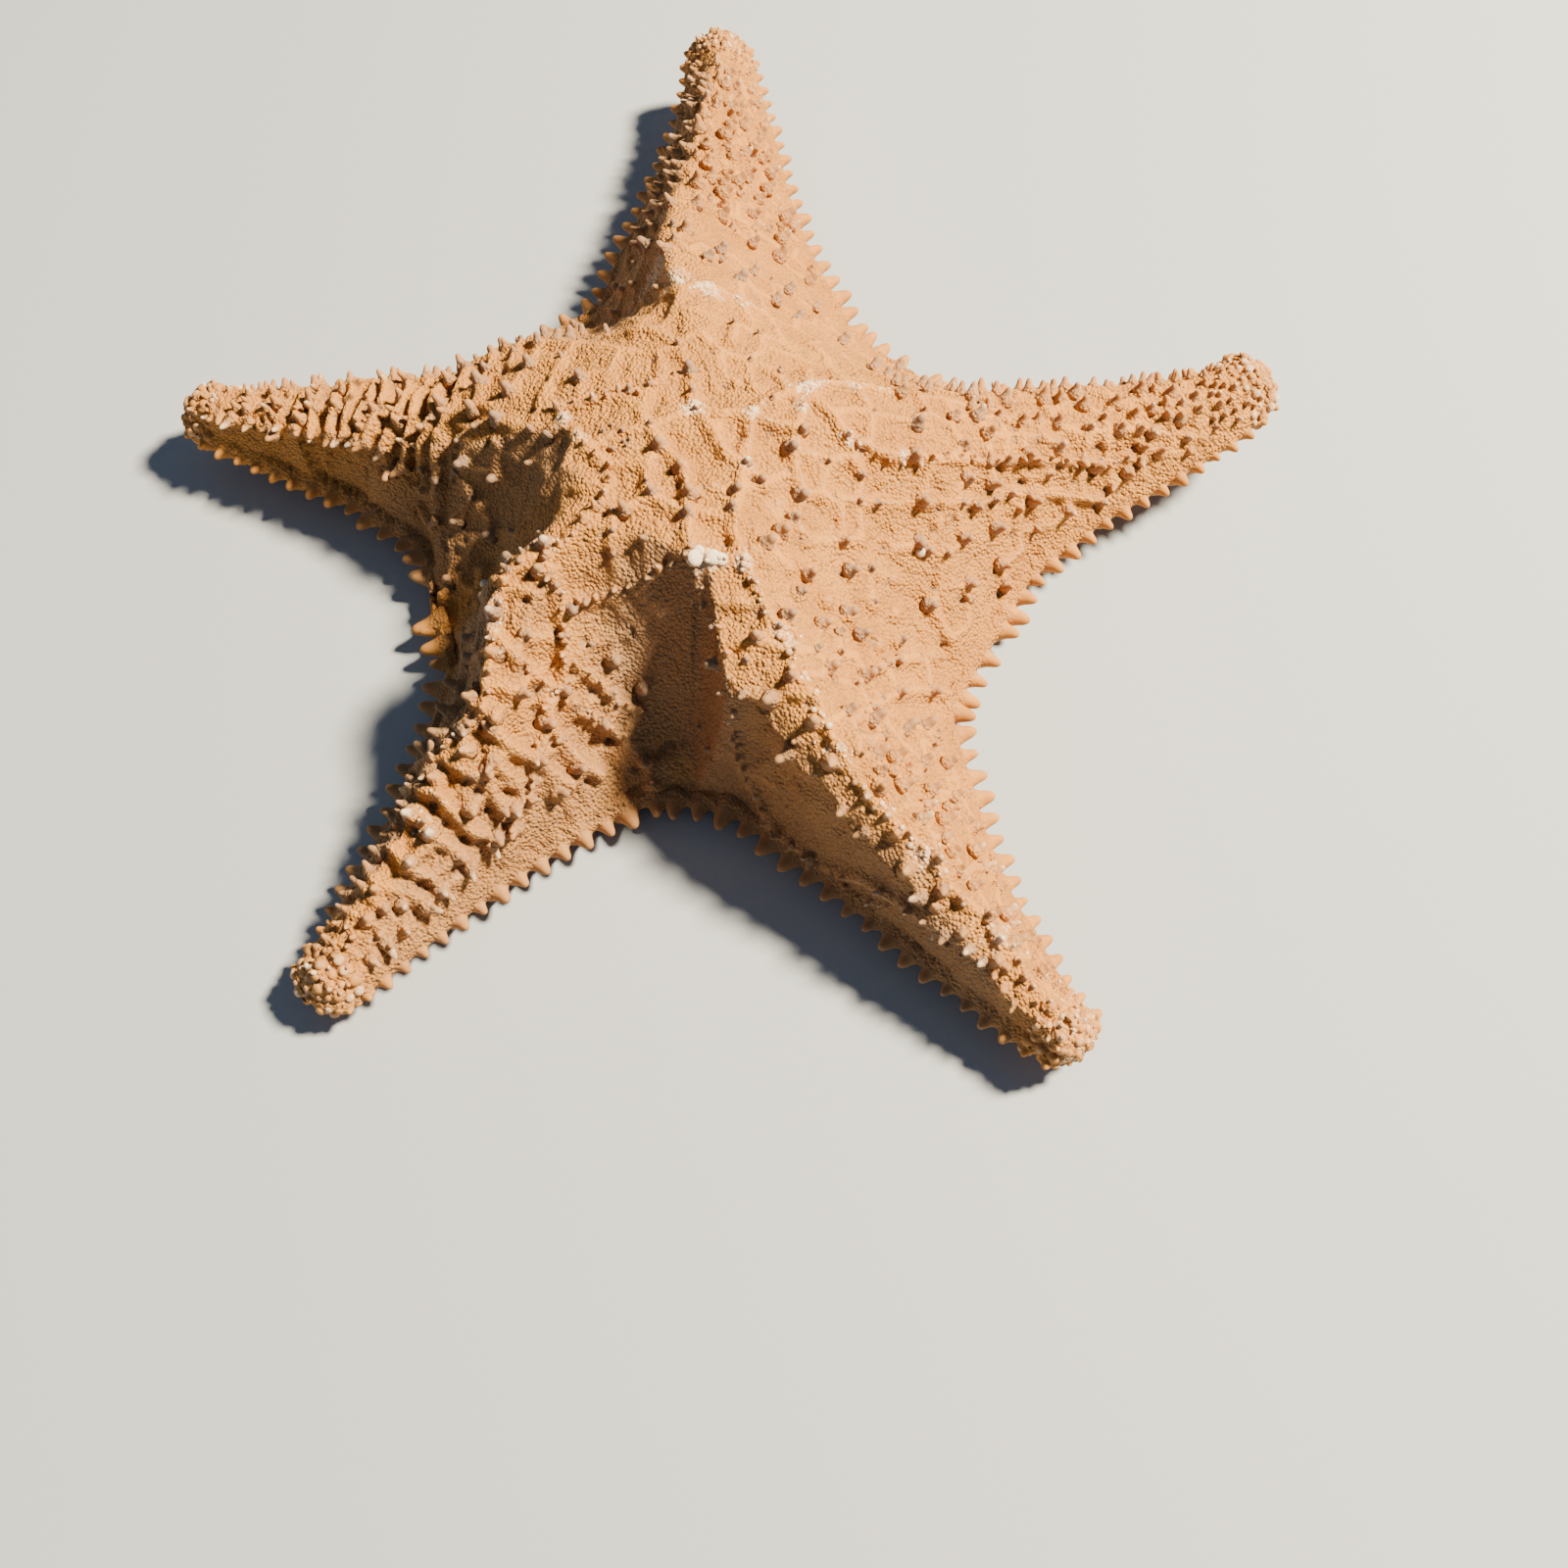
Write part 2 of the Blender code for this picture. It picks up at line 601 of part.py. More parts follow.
def dried_skin(name):
    """The sandy, matt finish of one piece."""
    material = bpy.data.materials.new(name + "_skin")
    material.use_nodes = True
    shader = material.node_tree.nodes["Principled BSDF"]
    shader.inputs["Base Color"].default_value = SKIN_COLOUR
    shader.inputs["Roughness"].default_value = SKIN_ROUGHNESS
    shader.inputs["Metallic"].default_value = 0.0
    return material


def make_disc(shapes):
    """The middle of the star, out to the thin cuts, with the notches between the arms."""
    surface = SurfaceMesh()
    top_middle = Vector((0.0, 0.0, DISC_HEIGHT))
    mouth = Vector((0.0, 0.0, MOUTH_DEPTH))
    for shape in shapes:
        tops = [surface.row([shape.top(row, t) for t in TOP_COLUMNS]) for row in DISC_ROWS]
        unders = [surface.row(shape.underside_row(row, UNDER_COLUMNS)) for row in DISC_ROWS]
        surface.fan(tops[0], surface.row([top_middle])[0])
        surface.fan(unders[0], surface.row([mouth])[0])
        for rows in (tops, unders):
            for first, second in zip(rows, rows[1:]):
                surface.strip(first, second)
        notch_row = surface.row(shape.section(1.0))
        cut_row = surface.row(shape.cut_section(0.0))
        surface.band(notch_row, cut_row)
        surface.face(cut_row)
    return surface.finish("disc")


def make_arm(shape):
    """One free arm, from the thin cut to its rounded tip."""
    surface = SurfaceMesh()
    loops = [surface.row(shape.cut_section(CUT_GAP))]
    loops.extend(surface.row(shape.section(1.0 + u)) for u in ARM_ROWS)
    surface.face(loops[0])
    for first, second in zip(loops, loops[1:]):
        surface.band(first, second)
    tip = shape.centre(1.0)
    tip.z = shape.arm.tip_height * MM
    surface.fan(loops[-1] + loops[-1][:1], surface.row([tip])[0])
    return surface.finish(shape.arm.name)


def clear_scene():
    for item in list(bpy.data.objects):
        bpy.data.objects.remove(item, do_unlink=True)


def main():
    clear_scene()
    star = bpy.data.collections.new("cushion_sea_star")
    bpy.context.scene.collection.children.link(star)
    shapes = [ArmShape(arm) for arm in ARMS]
    planners = [SpinePlanner(shape) for shape in shapes]

    disc = make_disc(shapes)
    star.objects.link(disc)
    join_spines(disc, [plan for planner in planners for plan in planner.disc_spines()])
    for shape, planner in zip(shapes, planners):
        arm = make_arm(shape)
        star.objects.link(arm)
        join_spines(arm, planner.arm_spines())
    for piece in star.objects:
        piece.data.materials.append(dried_skin(piece.name))


main()
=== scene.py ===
"""The looks of a dried cushion sea star, modelled round its fixed solids.

The skin repeats the shape of the solids from the same named sizes, finer and with its
relief. A net of smooth ridges, blunt spines, knobs and whitish crust stands on it.
Metres, +Z up, the floor at z = 0, +Y away from the viewer.
"""

import math
import random
from collections import namedtuple

import bpy
import numpy as np
from bpy.props import FloatProperty, FloatVectorProperty, PointerProperty
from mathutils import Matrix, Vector, noise
from mathutils.kdtree import KDTree


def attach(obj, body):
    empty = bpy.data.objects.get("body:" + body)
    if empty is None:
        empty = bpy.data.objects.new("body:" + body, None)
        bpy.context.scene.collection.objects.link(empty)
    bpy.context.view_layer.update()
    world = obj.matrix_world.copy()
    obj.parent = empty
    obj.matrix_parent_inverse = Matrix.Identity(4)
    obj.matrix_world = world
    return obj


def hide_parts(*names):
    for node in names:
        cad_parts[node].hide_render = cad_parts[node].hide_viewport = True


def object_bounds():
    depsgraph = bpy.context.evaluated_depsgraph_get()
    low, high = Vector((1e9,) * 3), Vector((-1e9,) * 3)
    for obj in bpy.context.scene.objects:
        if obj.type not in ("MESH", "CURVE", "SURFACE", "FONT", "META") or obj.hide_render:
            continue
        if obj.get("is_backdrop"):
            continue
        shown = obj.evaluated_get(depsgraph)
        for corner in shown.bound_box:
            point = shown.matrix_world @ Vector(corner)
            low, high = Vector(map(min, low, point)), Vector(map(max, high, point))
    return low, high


bl_info = {
    "name": "Dried cushion sea star",
    "version": (1, 0, 0),
    "blender": (4, 5, 0),
    "location": "3D View > Sidebar > Sea star",
    "description": "Models the skin, ridges, spines and crust of a dried cushion sea star",
    "category": "Object",
}

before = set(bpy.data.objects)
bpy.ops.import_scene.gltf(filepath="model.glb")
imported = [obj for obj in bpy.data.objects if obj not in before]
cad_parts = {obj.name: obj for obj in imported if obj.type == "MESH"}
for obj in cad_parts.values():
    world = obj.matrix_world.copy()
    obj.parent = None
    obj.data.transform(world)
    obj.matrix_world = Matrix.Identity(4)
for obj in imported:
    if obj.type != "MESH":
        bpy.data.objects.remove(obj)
SOLID_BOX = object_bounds()
NODES = sorted(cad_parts)

MM = 0.001
RANDOM_SEED = 7

# The shape of the body, as in its solids: the middle of the disc, the low wall round
# its edge, and the groove along the underside of each arm.
STAR_CENTRE = Vector((-4.9 * MM, -18.7 * MM, 0.0))
DISC_HEIGHT = 57.0 * MM
UPPER_EDGE_RISE = 3.2 * MM
UPPER_EDGE_INSET = 1.2 * MM
LOWER_EDGE_DROP = 3.6 * MM
LOWER_EDGE_INSET = 2.2 * MM
GROOVE_DEPTH = 4.0 * MM
GROOVE_HALF_WIDTH = 4.2 * MM
GROOVE_SHARE_OF_TIP = 0.3
WIDEST_GROOVE = 0.4
MOUTH_ROW = 0.16
MOUTH_DEPTH = 6.0 * MM
FLAT_SHARE = 0.35
RESTING_SHARE = 0.2
UNDERSIDE_BEND = 1.8
EDGE_BEND = 1.4
ARM_CUT = 0.085

Notch = namedtuple("Notch", "angle radius margin_height steepness rim")
NOTCHES = {
    "near": Notch(-94.2, 69.6 * MM, 5.5 * MM, 1.0, 0.55),
    "right": Notch(-33.1, 72.1 * MM, 6.0 * MM, 0.05, 0.45),
    "far_right": Notch(53.1, 75.3 * MM, 10.0 * MM, 0.0, 0.45),
    "far_left": Notch(116.0, 81.5 * MM, 10.0 * MM, 0.55, 0.45),
    "left": Notch(200.8, 69.3 * MM, 6.0 * MM, 1.0, 0.50),
}

# How the top falls from the crest, at 0, to the upper edge, at 1.
Flank = namedtuple("Flank", "shoulder drop bend")

# Crest heights, sway and ridge are in millimetres at the even stations of ARM_STATIONS.
Arm = namedtuple("Arm", "name right_notch left_notch tip_angle reach tip_height girth"
                        " crest sway ridge notch_flanks arm_flanks")
ARM_STATIONS = (0.0, 0.2, 0.4, 0.6, 0.8, 1.0)
ARMS = (
    Arm("arm_near_right", "near", "right", 301.4, 152.0, 10.0, 1.0,
        (48.0, 42.5, 35.0, 27.5, 21.0, 15.5),
        (0.0, -0.5, -2.0, -2.8, -2.6, 0.0), (-11.0, -12.0, -9.5, -6.0, -3.5, 0.0),
        (Flank(0.57, 0.11, 2.2), Flank(0.08, 0.03, 1.1)),
        (Flank(0.80, 0.19, 0.55), Flank(0.15, 0.04, 0.95))),
    Arm("arm_right", "right", "far_right", 17.0, 145.0, 25.0, 1.2,
        (44.0, 36.0, 32.0, 30.0, 30.0, 31.0),
        (0.0, 1.0, 0.0, -2.2, -3.5, 0.0), (-2.0, -1.0, -1.0, -2.5, -3.5, 0.0),
        (Flank(0.20, 0.06, 1.15), Flank(0.25, 0.08, 1.2)),
        (Flank(0.40, 0.10, 1.0), Flank(0.45, 0.10, 0.8))),
    Arm("arm_far", "far_right", "far_left", 89.9, 171.5, 21.5, 1.2,
        (46.0, 42.0, 38.0, 34.0, 31.0, 28.0),
        (0.0, 3.0, 2.0, 0.0, -0.5, 0.0), (16.0, 12.0, 8.0, 5.0, 2.5, 0.0),
        (Flank(0.15, 0.05, 1.1), Flank(0.10, 0.04, 1.4)),
        (Flank(0.30, 0.10, 0.9), Flank(0.10, 0.03, 0.95))),
    Arm("arm_left", "far_left", "left", 163.5, 137.0, 14.5, 1.06,
        (45.0, 36.0, 31.0, 27.0, 23.5, 20.5),
        (0.0, 2.0, 1.0, 2.0, 2.5, 0.0), (8.0, 7.0, 5.0, 5.0, 4.0, 0.0),
        (Flank(0.35, 0.10, 1.3), Flank(0.30, 0.10, 1.8)),
        (Flank(0.40, 0.10, 0.8), Flank(0.65, 0.15, 0.6))),
    Arm("arm_near_left", "left", "near", 234.7, 144.0, 7.5, 1.0,
        (47.5, 39.0, 30.0, 22.5, 16.5, 13.0),
        (0.0, 0.7, 0.8, 0.8, 0.8, 0.0), (-12.0, -4.0, -3.5, -3.0, -1.5, 0.0),
        (Flank(0.16, 0.04, 1.7), Flank(0.15, 0.05, 1.25)),
        (Flank(0.12, 0.04, 0.95), Flank(0.35, 0.08, 0.85))),
)

WIDTH_STATIONS = (0.0, 0.07, 0.2, 0.37, 0.55, 0.7, 0.85, 0.94)
ARM_HALF_WIDTHS = (None, None, 24.0, 18.6, 14.2, 11.2, 8.6, 7.2)
NOTCH_ROUNDING = 7.5 * MM
TIP_CAP_START = 0.94
LEAST_HALF_WIDTH = 5.0 * MM
ROWS_TURN = 0.35
EDGE_TURN = 0.12
FLANKS_CHANGE = 0.35
DIRECTION_STEP = 0.02
ROW_STEP = 0.01
T_STEP = 0.03
SHOULDER_WIDENING = 0.6
VALLEY_STATIONS = (0.0, 0.3, 0.48, 0.6, 0.72, 0.86, 1.0)
VALLEY_GENTLE = (1.0, 0.92, 0.76, 0.60, 0.42, 0.20, 0.0)
WALL_STATIONS = (0.0, 0.22, 0.45, 0.72, 1.0)
WALL_HEIGHTS = (0.955, 0.74, 0.42, 0.15, 0.0)
RIM_DROP = 0.045

# The spines that the solids have: one row along the edge, tall ones on the arms and knobs
# on the disc, whose places inside its last rows are in millimetres from its middle.
Spine = namedtuple("Spine", "length radius tip_radius spacing sides")
EDGE_SPINE = Spine(4.8 * MM, 2.1 * MM, 0.6 * MM, 6.2 * MM, 5)
EDGE_TIP_SPINE = Spine(2.1 * MM, 1.3 * MM, 0.5 * MM, 4.8 * MM, 5)
ARM_SPINE = Spine(3.0 * MM, 1.6 * MM, 0.5 * MM, 10.0 * MM, 4)
ARM_TIP_SPINE = Spine(2.0 * MM, 1.3 * MM, 0.5 * MM, 6.5 * MM, 4)
DISC_KNOB = Spine(2.2 * MM, 1.5 * MM, 0.6 * MM, 11.0 * MM, 4)
SIZE_VARIATION = 0.18
PLACE_VARIATION = 0.15
EDGE_SPINE_RISE = 0.22
EDGE_SPINE_RISE_RANGE = (0.4, 1.6)
EDGE_STEP = 0.004
LAST_SPINE_ROW = 1.975
TOP_SPINE_LIMIT = 0.86
ARC_OVER_WIDTH = 1.1
STAGGER = 0.25
FIRST_KNOB_ROW = 0.78
CUT_CLEARANCE = 0.7 * MM
SLIDE_STEP = 0.002
CURVE_SAMPLES = 80
DISC_KNOBS = (
    (22, -34), (31, -29), (30, -23), (31, -39), (16, -28), (13, -32), (19, -23), (12, -17),
    (-34, -31), (-35, 0), (-29, 14), (48, -16), (-10, -8), (20, -2), (19, -7), (21, -17),
    (8, -13), (7, -20), (6, -25), (-5, -14), (-4, -21), (-12, -21), (-17, -24), (-4, -26),
    (-4, 13),
)

# The skin's parts, and how finely its rows are sampled before points are set on them.
TOP, WALL, UNDER = 0.0, 1.0, 2.0
TOP_SAMPLES = np.linspace(-1.0, 1.0, 161)
UNDER_SAMPLES = np.linspace(1.0, -1.0, 81)
WALL_SAMPLES = 9
DISC_ROW_COUNT = 78
TIP_ROW_COUNT = 9
SAME_POINT = 0.01 * MM
BAR_SAMPLE_STEP = 0.7 * MM

# The net of ridges by region: how far apart its nodes are along and across the arm, half
# the width of a ridge and its height, in millimetres, and the share of bars along the arm.
Weave = namedtuple("Weave", "along across half_width height lengthwise")
DISC_WEAVE = Weave(7.6, 7.6, 1.1, 1.2, 0.85)
WEAVES = {
    "arm_near_right": Weave(5.4, 5.4, 0.95, 1.2, 0.8),
    "arm_right": Weave(5.0, 5.0, 0.95, 1.3, 1.0),
    "arm_far": Weave(5.0, 5.0, 0.95, 0.9, 0.7),
    "arm_left": Weave(5.6, 6.4, 1.0, 2.0, 0.4),
    "arm_near_left": Weave(6.8, 7.2, 1.15, 2.0, 0.7),
}
TIP_WEAVE = Weave(2.5, 2.5, 0.8, 0.5, 1.0)
DISC_TO_ARM = (0.7, 1.1)
ARM_TO_TIP = (1.5, 1.88)
FIRST_NET_ROW = 0.09
NODE_WANDER = 0.16
DISC_ROWS_SPACING = 0.9
NET_WIDENING = 1.07
EDGE_OF_NET = 0.95
CLOSEST_SHARE = 0.66
NO_BARS_UNDER = 3.0
LONGEST_BAR = 1.9
MINOR_BARS = (0.4, 0.9)
MAIN_BARS = (1.05, 1.35)
RIDGE_NODE_STEP = 5.6 * MM
SNAP = 0.42
LOST_DISC_BARS = 0.2
CROSSWISE = 0.6
WAIST = 0.25
NARROWEST = 0.75
NODE_HALF_WIDTH = 1.3
NODE_HEIGHT = 1.1

# Folds that cross an arm: the first and last row, their spacing in millimetres at both,
# where they start and end across the arm, and how strong they are.
Folds = namedtuple("Folds", "first last spacing last_spacing start end strength")
FOLDS = {
    "arm_left": Folds(1.1, 1.86, 5.4, 3.6, -0.15, 0.72, 1.25),
    "arm_near_left": Folds(1.37, 1.86, 8.0, 4.4, -0.78, 0.76, 1.1),
}
FOLD_CORNERS = 4
FOLD_WANDER = 0.22
FOLD_SPACING_VARIATION = (0.85, 1.15)
FOLD_SPINE_LENGTH = 3.0 * MM
FOLD_SPINE_RADIUS = 1.3 * MM
FOLD_SPINE_SIZE = (0.75, 1.2)
FOLD_SPINE_LEAN = 0.6
FOLD_SPINE_CRUST = (0.0, 0.5)

# Regions where the net fades, as a place and a radius in millimetres.
CALM_REGIONS = ((38, -34, 20), (6, 112, 45))

# Hollows beside the net's nodes: the share of nodes that have one, and its size.
Hollows = namedtuple("Hollows", "share size")
DISC_HOLLOWS = Hollows(0.35, 0.8)
ARM_HOLLOWS = {
    "arm_near_right": Hollows(0.35, 0.8),
    "arm_right": Hollows(0.5, 0.9),
    "arm_far": Hollows(0.3, 0.7),
    "arm_left": Hollows(0.8, 1.1),
    "arm_near_left": Hollows(0.8, 1.1),
}
HOLLOW_SIDE = 205.0
HOLLOW_SPREAD = 35.0
HOLLOW_DISTANCE = 2.3 * MM
HOLLOW_RADIUS = (1.3, 2.1)
HOLLOW_DEPTH = (1.0, 2.1)
HOLLOW_SIZE_AT_TIP = 0.55

# The main ridges of the disc, the near arms and the right arm, as points in millimetres
# from the disc's middle.
MAIN_RIDGES = {
    "left_rim": ((-33, 6), (-32, 1), (-28, -5), (-21, -14), (-22, -22), (-30, -31), (-34, -34)),
    "left_arm_rim": ((-33, 6), (-25, 6), (-19, 8), (-14, 7), (-11, 12), (-4, 13)),
    "crown_left": ((-14, 7), (-15, 1), (-10, -8), (-13, -13), (-13, -18), (-11, -23)),
    "crown_middle": ((-10, -8), (-5, -14), (-4, -20), (-4, -26), (-3, -35)),
    "crown_near": ((-22, -23), (-11, -23), (-8, -25), (-4, -26), (5, -26)),
    "pocket_bar": ((-20, -24), (-20, -30), (-19, -36)),
    "crown_far": ((-4, 13), (-3, 2), (5, 0), (10, 1), (15, -2), (20, -3)),
    "crown_cross": ((-1, 0), (2, -6), (5, -12), (8, -13)),
    "crown_right": ((10, 1), (9, -6), (8, -13), (7, -20), (5, -29), (8, -36)),
    "far_right_bar": ((10, 1), (14, 5), (22, 12), (33, 15), (44, 18)),
    "right_bar": ((22, 12), (21, 4), (20, -3), (19, -11), (21, -17)),
    "right_arm_root": ((22, 12), (24, 7), (29, 2), (31, -3), (34, -8)),
    "right_shelf": ((20, -17), (26, -15), (32, -14), (38, -12)),
    "pit_rim": ((-31, -41), (-26, -40), (-19, -38), (-11, -37), (-4, -37), (2, -37), (8, -36)),
    "near_right_crest": ((8, -36), (12, -46), (16, -53), (22, -63), (26, -74), (34, -85),
                         (44, -93), (50, -100), (57, -107), (64, -114)),
    "near_right_shoulder": ((-3, -37), (0, -44), (3, -52), (5, -60), (8, -69), (13, -77),
                            (19, -85), (26, -90), (34, -95), (44, -104), (54, -112)),
    "near_right_step_1": ((1, -44), (12, -47)),
    "near_right_step_2": ((5, -54), (17, -55)),
    "near_right_step_3": ((8, -64), (22, -64)),
    "near_left_shoulder": ((-36, -30), (-43, -38), (-45, -48), (-46, -56), (-47, -64), (-56, -70),
                           (-63, -78), (-70, -88)),
    "near_left_middle": ((-34, -34), (-31, -41), (-30, -47), (-31, -54), (-35, -60), (-36, -70),
                         (-40, -77)),
    "near_left_brace_1": ((-45, -50), (-38, -54), (-32, -56), (-25, -58), (-19, -60)),
    "near_left_brace_2": ((-31, -49), (-25, -51), (-20, -54), (-15, -55)),
    "near_left_brace_3": ((-31, -42), (-20, -38), (-12, -37)),
    "near_left_brace_4": ((-30, -49), (-23, -45), (-17, -44), (-11, -42)),
    "near_left_brace_5": ((-35, -62), (-31, -64), (-24, -67)),
    "near_left_brace_6": ((-45, -67), (-41, -69), (-36, -70), (-30, -71)),
    "near_left_brace_7": ((-45, -72), (-41, -74), (-38, -76)),
    "right_arm_ridge": ((31, -2), (38, -3), (44, -3), (53, 0), (64, 4), (78, 9), (88, 12), (105, 16)),
    "right_arm_row": ((49, -10), (56, -6), (63, -4), (71, 2), (85, 6), (96, 8)),
    "right_chevron_1": ((54, -35), (45, -41), (39, -46), (34, -53)),
    "right_chevron_2": ((56, -43), (47, -47), (40, -53), (31, -67)),
}

# The two rows between which spines take the place of knobs.
SPINES_START = {
    "arm_near_right": (1.0, 1.4),
    "arm_right": (0.95, 1.15),
    "arm_far": (0.95, 1.3),
    "arm_left": (0.95, 1.15),
    "arm_near_left": (1.1, 1.4),
}

# Painted shade: steep flanks that face away from the key light, where shade falls, get a darker skin
# painted on, given as a strength, a half-width and points in millimetres.
PAINTED_SHADE_FLANKS = (
    (1.0, 14, ((-9, -44), (-7, -58), (-1, -72), (7, -84), (20, -97), (34, -108), (50, -120))),
    (1.0, 13, ((-45, -30), (-53, -44), (-57, -58), (-64, -70), (-74, -84))),
    (0.6, 15, ((-12, -46), (-14, -60), (-20, -72), (-30, -82), (-44, -92), (-58, -102))),
    (0.8, 11, ((-36, -6), (-52, -4), (-72, -2), (-92, 2), (-110, 6))),
    (0.6, 12, ((-28, 44), (-24, 66), (-20, 90), (-16, 116), (-10, 140))),
)
PAINTED_SHADE_STEP = 2.0 * MM
PAINTED_SHADE_FADE = (0.5, 1.6)
PAINTED_SHADE_LEVELNESS = (0.7, 0.95)
PAINTED_SHADE_SHARE = 0.62

# Whitish crust on worn nodes, as a place and a radius in millimetres and a strength.
CRUSTS = (
    (21, 11, 3.4, 0.55), (21, 4, 2.2, 0.4), (10, 1, 2.6, 0.5), (-3, 2, 3.4, 0.55), (31, -2, 2.4, 0.45),
    (-32, 2, 2.6, 0.5), (-28, -5, 2.4, 0.45), (-34, -31, 2.6, 0.4), (8, -13, 2.2, 0.45),
    (-45, -45, 4.0, 0.4), (44, -2, 2.0, 0.45), (8, -37, 2.4, 0.6), (1, -37, 3.0, 0.6),
    (-14, 56, 5.0, 0.45), (-8, 46, 5.0, 0.4), (0, 43, 4.0, 0.4), (8, 45, 4.0, 0.35),
    (26, 14, 3.0, 0.4), (33, 15, 2.6, 0.4), (41, 17, 2.6, 0.35), (17, -53, 4.0, 0.4),
    (27, -76, 4.0, 0.35), (45, -95, 5.0, 0.4), (60, -110, 5.0, 0.35), (-60, -84, 5.0, 0.25),
)
TIP_CRUST = 0.38
TIP_CRUST_START = 1.8

# The sieve plate and two stray chalky knobs: place, radius and height in millimetres.
CHALK_KNOBS = (
    (-2.3, -37.4, 1.8, 0.8), (-1.4, -35.9, 1.2, 0.7), (1.6, -37.0, 1.7, 0.9), (3.2, -36.8, 1.5, 0.8),
    (-51.5, -19.0, 1.1, 1.8), (48.5, -17.5, 1.2, 1.1),
)

# Worn nodules in a loose line along a ridge: the ridge, their spacing and radius.
NODULE_RIDGE = "near_right_crest"
NODULE_STEP = 2.3 * MM
NODULE_RADIUS = (0.5 * MM, 0.95 * MM)
NODULE_SCATTER = 0.9 * MM
NODULE_COUNTS = (0, 1, 1, 2)
NODULE_CRUST = (0.2, 0.6)
FLATNESS = 0.7

# Grains strewn over each patch of crust.
GRAIN_RADIUS = (0.25 * MM, 0.5 * MM)
GRAIN_CRUST = (0.4, 1.0)
GRAINS_IN_CRUST = 1.2
GRAIN_SPREAD = 0.55

# Ridges edged with small teeth, and how far apart these are.
TOOTHED_RIDGES = ("left_rim", "pit_rim", "near_right_shoulder", "near_left_shoulder", "left_arm_rim",
                  "near_left_middle", "near_left_brace_1", "near_left_brace_2", "right_arm_ridge")
TOOTH_STEP = 3.8 * MM
TOOTH_LENGTH = 1.7 * MM
TOOTH_RADIUS = 0.95 * MM
TOOTH_SCATTER = 0.35 * MM
TOOTH_SIZE = (0.6, 1.15)
TOOTH_CRUST = (0.0, 0.4)

# The round knobs that cover the arm tips.
TIP_KNOB_ROW = 1.88
TIP_KNOB_STEP = 2.0 * MM
TIP_KNOB_RADIUS = 0.95 * MM
TIP_KNOB_SIZE = (0.55, 1.25)
TIP_KNOB_WIDENING = 1.6
TIP_KNOB_CRUST = (0.0, 0.45)

# A smooth oval scar and a cluster of small knobs on the disc, in millimetres.
SCAR_PLACE = (15.5, -21.5)
SCAR_RADIUS = 4.2
CLUSTER_PLACE = (-19.0, -5.0)
CLUSTER_RADIUS = 4.2
CLUSTER_COUNT = 9
CLUSTER_KNOB_RADIUS = 0.65 * MM
CLUSTER_KNOB_HEIGHT = 0.9 * MM

# The camera looks down on the star from the front, meant for a square frame, with a lens as long as its
# sensor is wide.
CAMERA_PLACE = (3.385 * MM, -251.828 * MM, 321.587 * MM)
CAMERA_TURN = (28.134, -1.288, -0.629)
CAMERA_LENS = 36.0
CAMERA_SENSOR = 36.0
CAMERA_NEAREST = 10.0 * MM


def smooth_curve(stations, values, x):
    """Read a curve that passes through the values without overshooting them."""
    if x <= stations[0]:
        return values[0]
    if x >= stations[-1]:
        return values[-1]
    last = len(stations) - 1
    widths = [stations[i + 1] - stations[i] for i in range(last)]
    slopes = [(values[i + 1] - values[i]) / widths[i] for i in range(last)]
    i = next(k for k in range(last) if x <= stations[k + 1])

    def tangent(k):
        if k == 0 or k == last:
            return slopes[min(k, last - 1)]
        before, after = slopes[k - 1], slopes[k]
        if before * after <= 0.0:
            return 0.0
        return 2.0 * before * after / (before + after)

    share = (x - stations[i]) / widths[i]
    start, end = values[i], values[i + 1]
    lead_in = tangent(i) * widths[i]
    lead_out = tangent(i + 1) * widths[i]
    return (
        start * (2 * share ** 3 - 3 * share ** 2 + 1)
        + lead_in * (share ** 3 - 2 * share ** 2 + share)
        + end * (3 * share ** 2 - 2 * share ** 3)
        + lead_out * (share ** 3 - share ** 2)
    )


def ease(x):
    """Go smoothly from 0 to 1; numbers or arrays."""
    x = np.clip(x, 0.0, 1.0)
    return x * x * (3.0 - 2.0 * x)


def ramp(x, low, high):
    return ease((x - low) / (high - low))


def bell(x):
    """A smooth hump, 1 at 0 and 0 from 1 on."""
    return (1.0 - np.clip(np.abs(x), 0.0, 1.0) ** 2) ** 2


def mix(a, b, share):
    return a + (b - a) * share


def steep_valley(row, rim):
    """The height left at a row of a steep valley: flat as far as its rim, then a wall."""
    if row < rim:
        return 1.0 - RIM_DROP * (row / rim) ** 2
    return smooth_curve(WALL_STATIONS, WALL_HEIGHTS, (row - rim) / (1.0 - rim))


def heading(degrees):
    return Vector((math.cos(math.radians(degrees)), math.sin(math.radians(degrees)), 0.0))


def across(direction):
    """The direction a quarter turn to the left of a level direction."""
    return Vector((-direction.y, direction.x, 0.0))


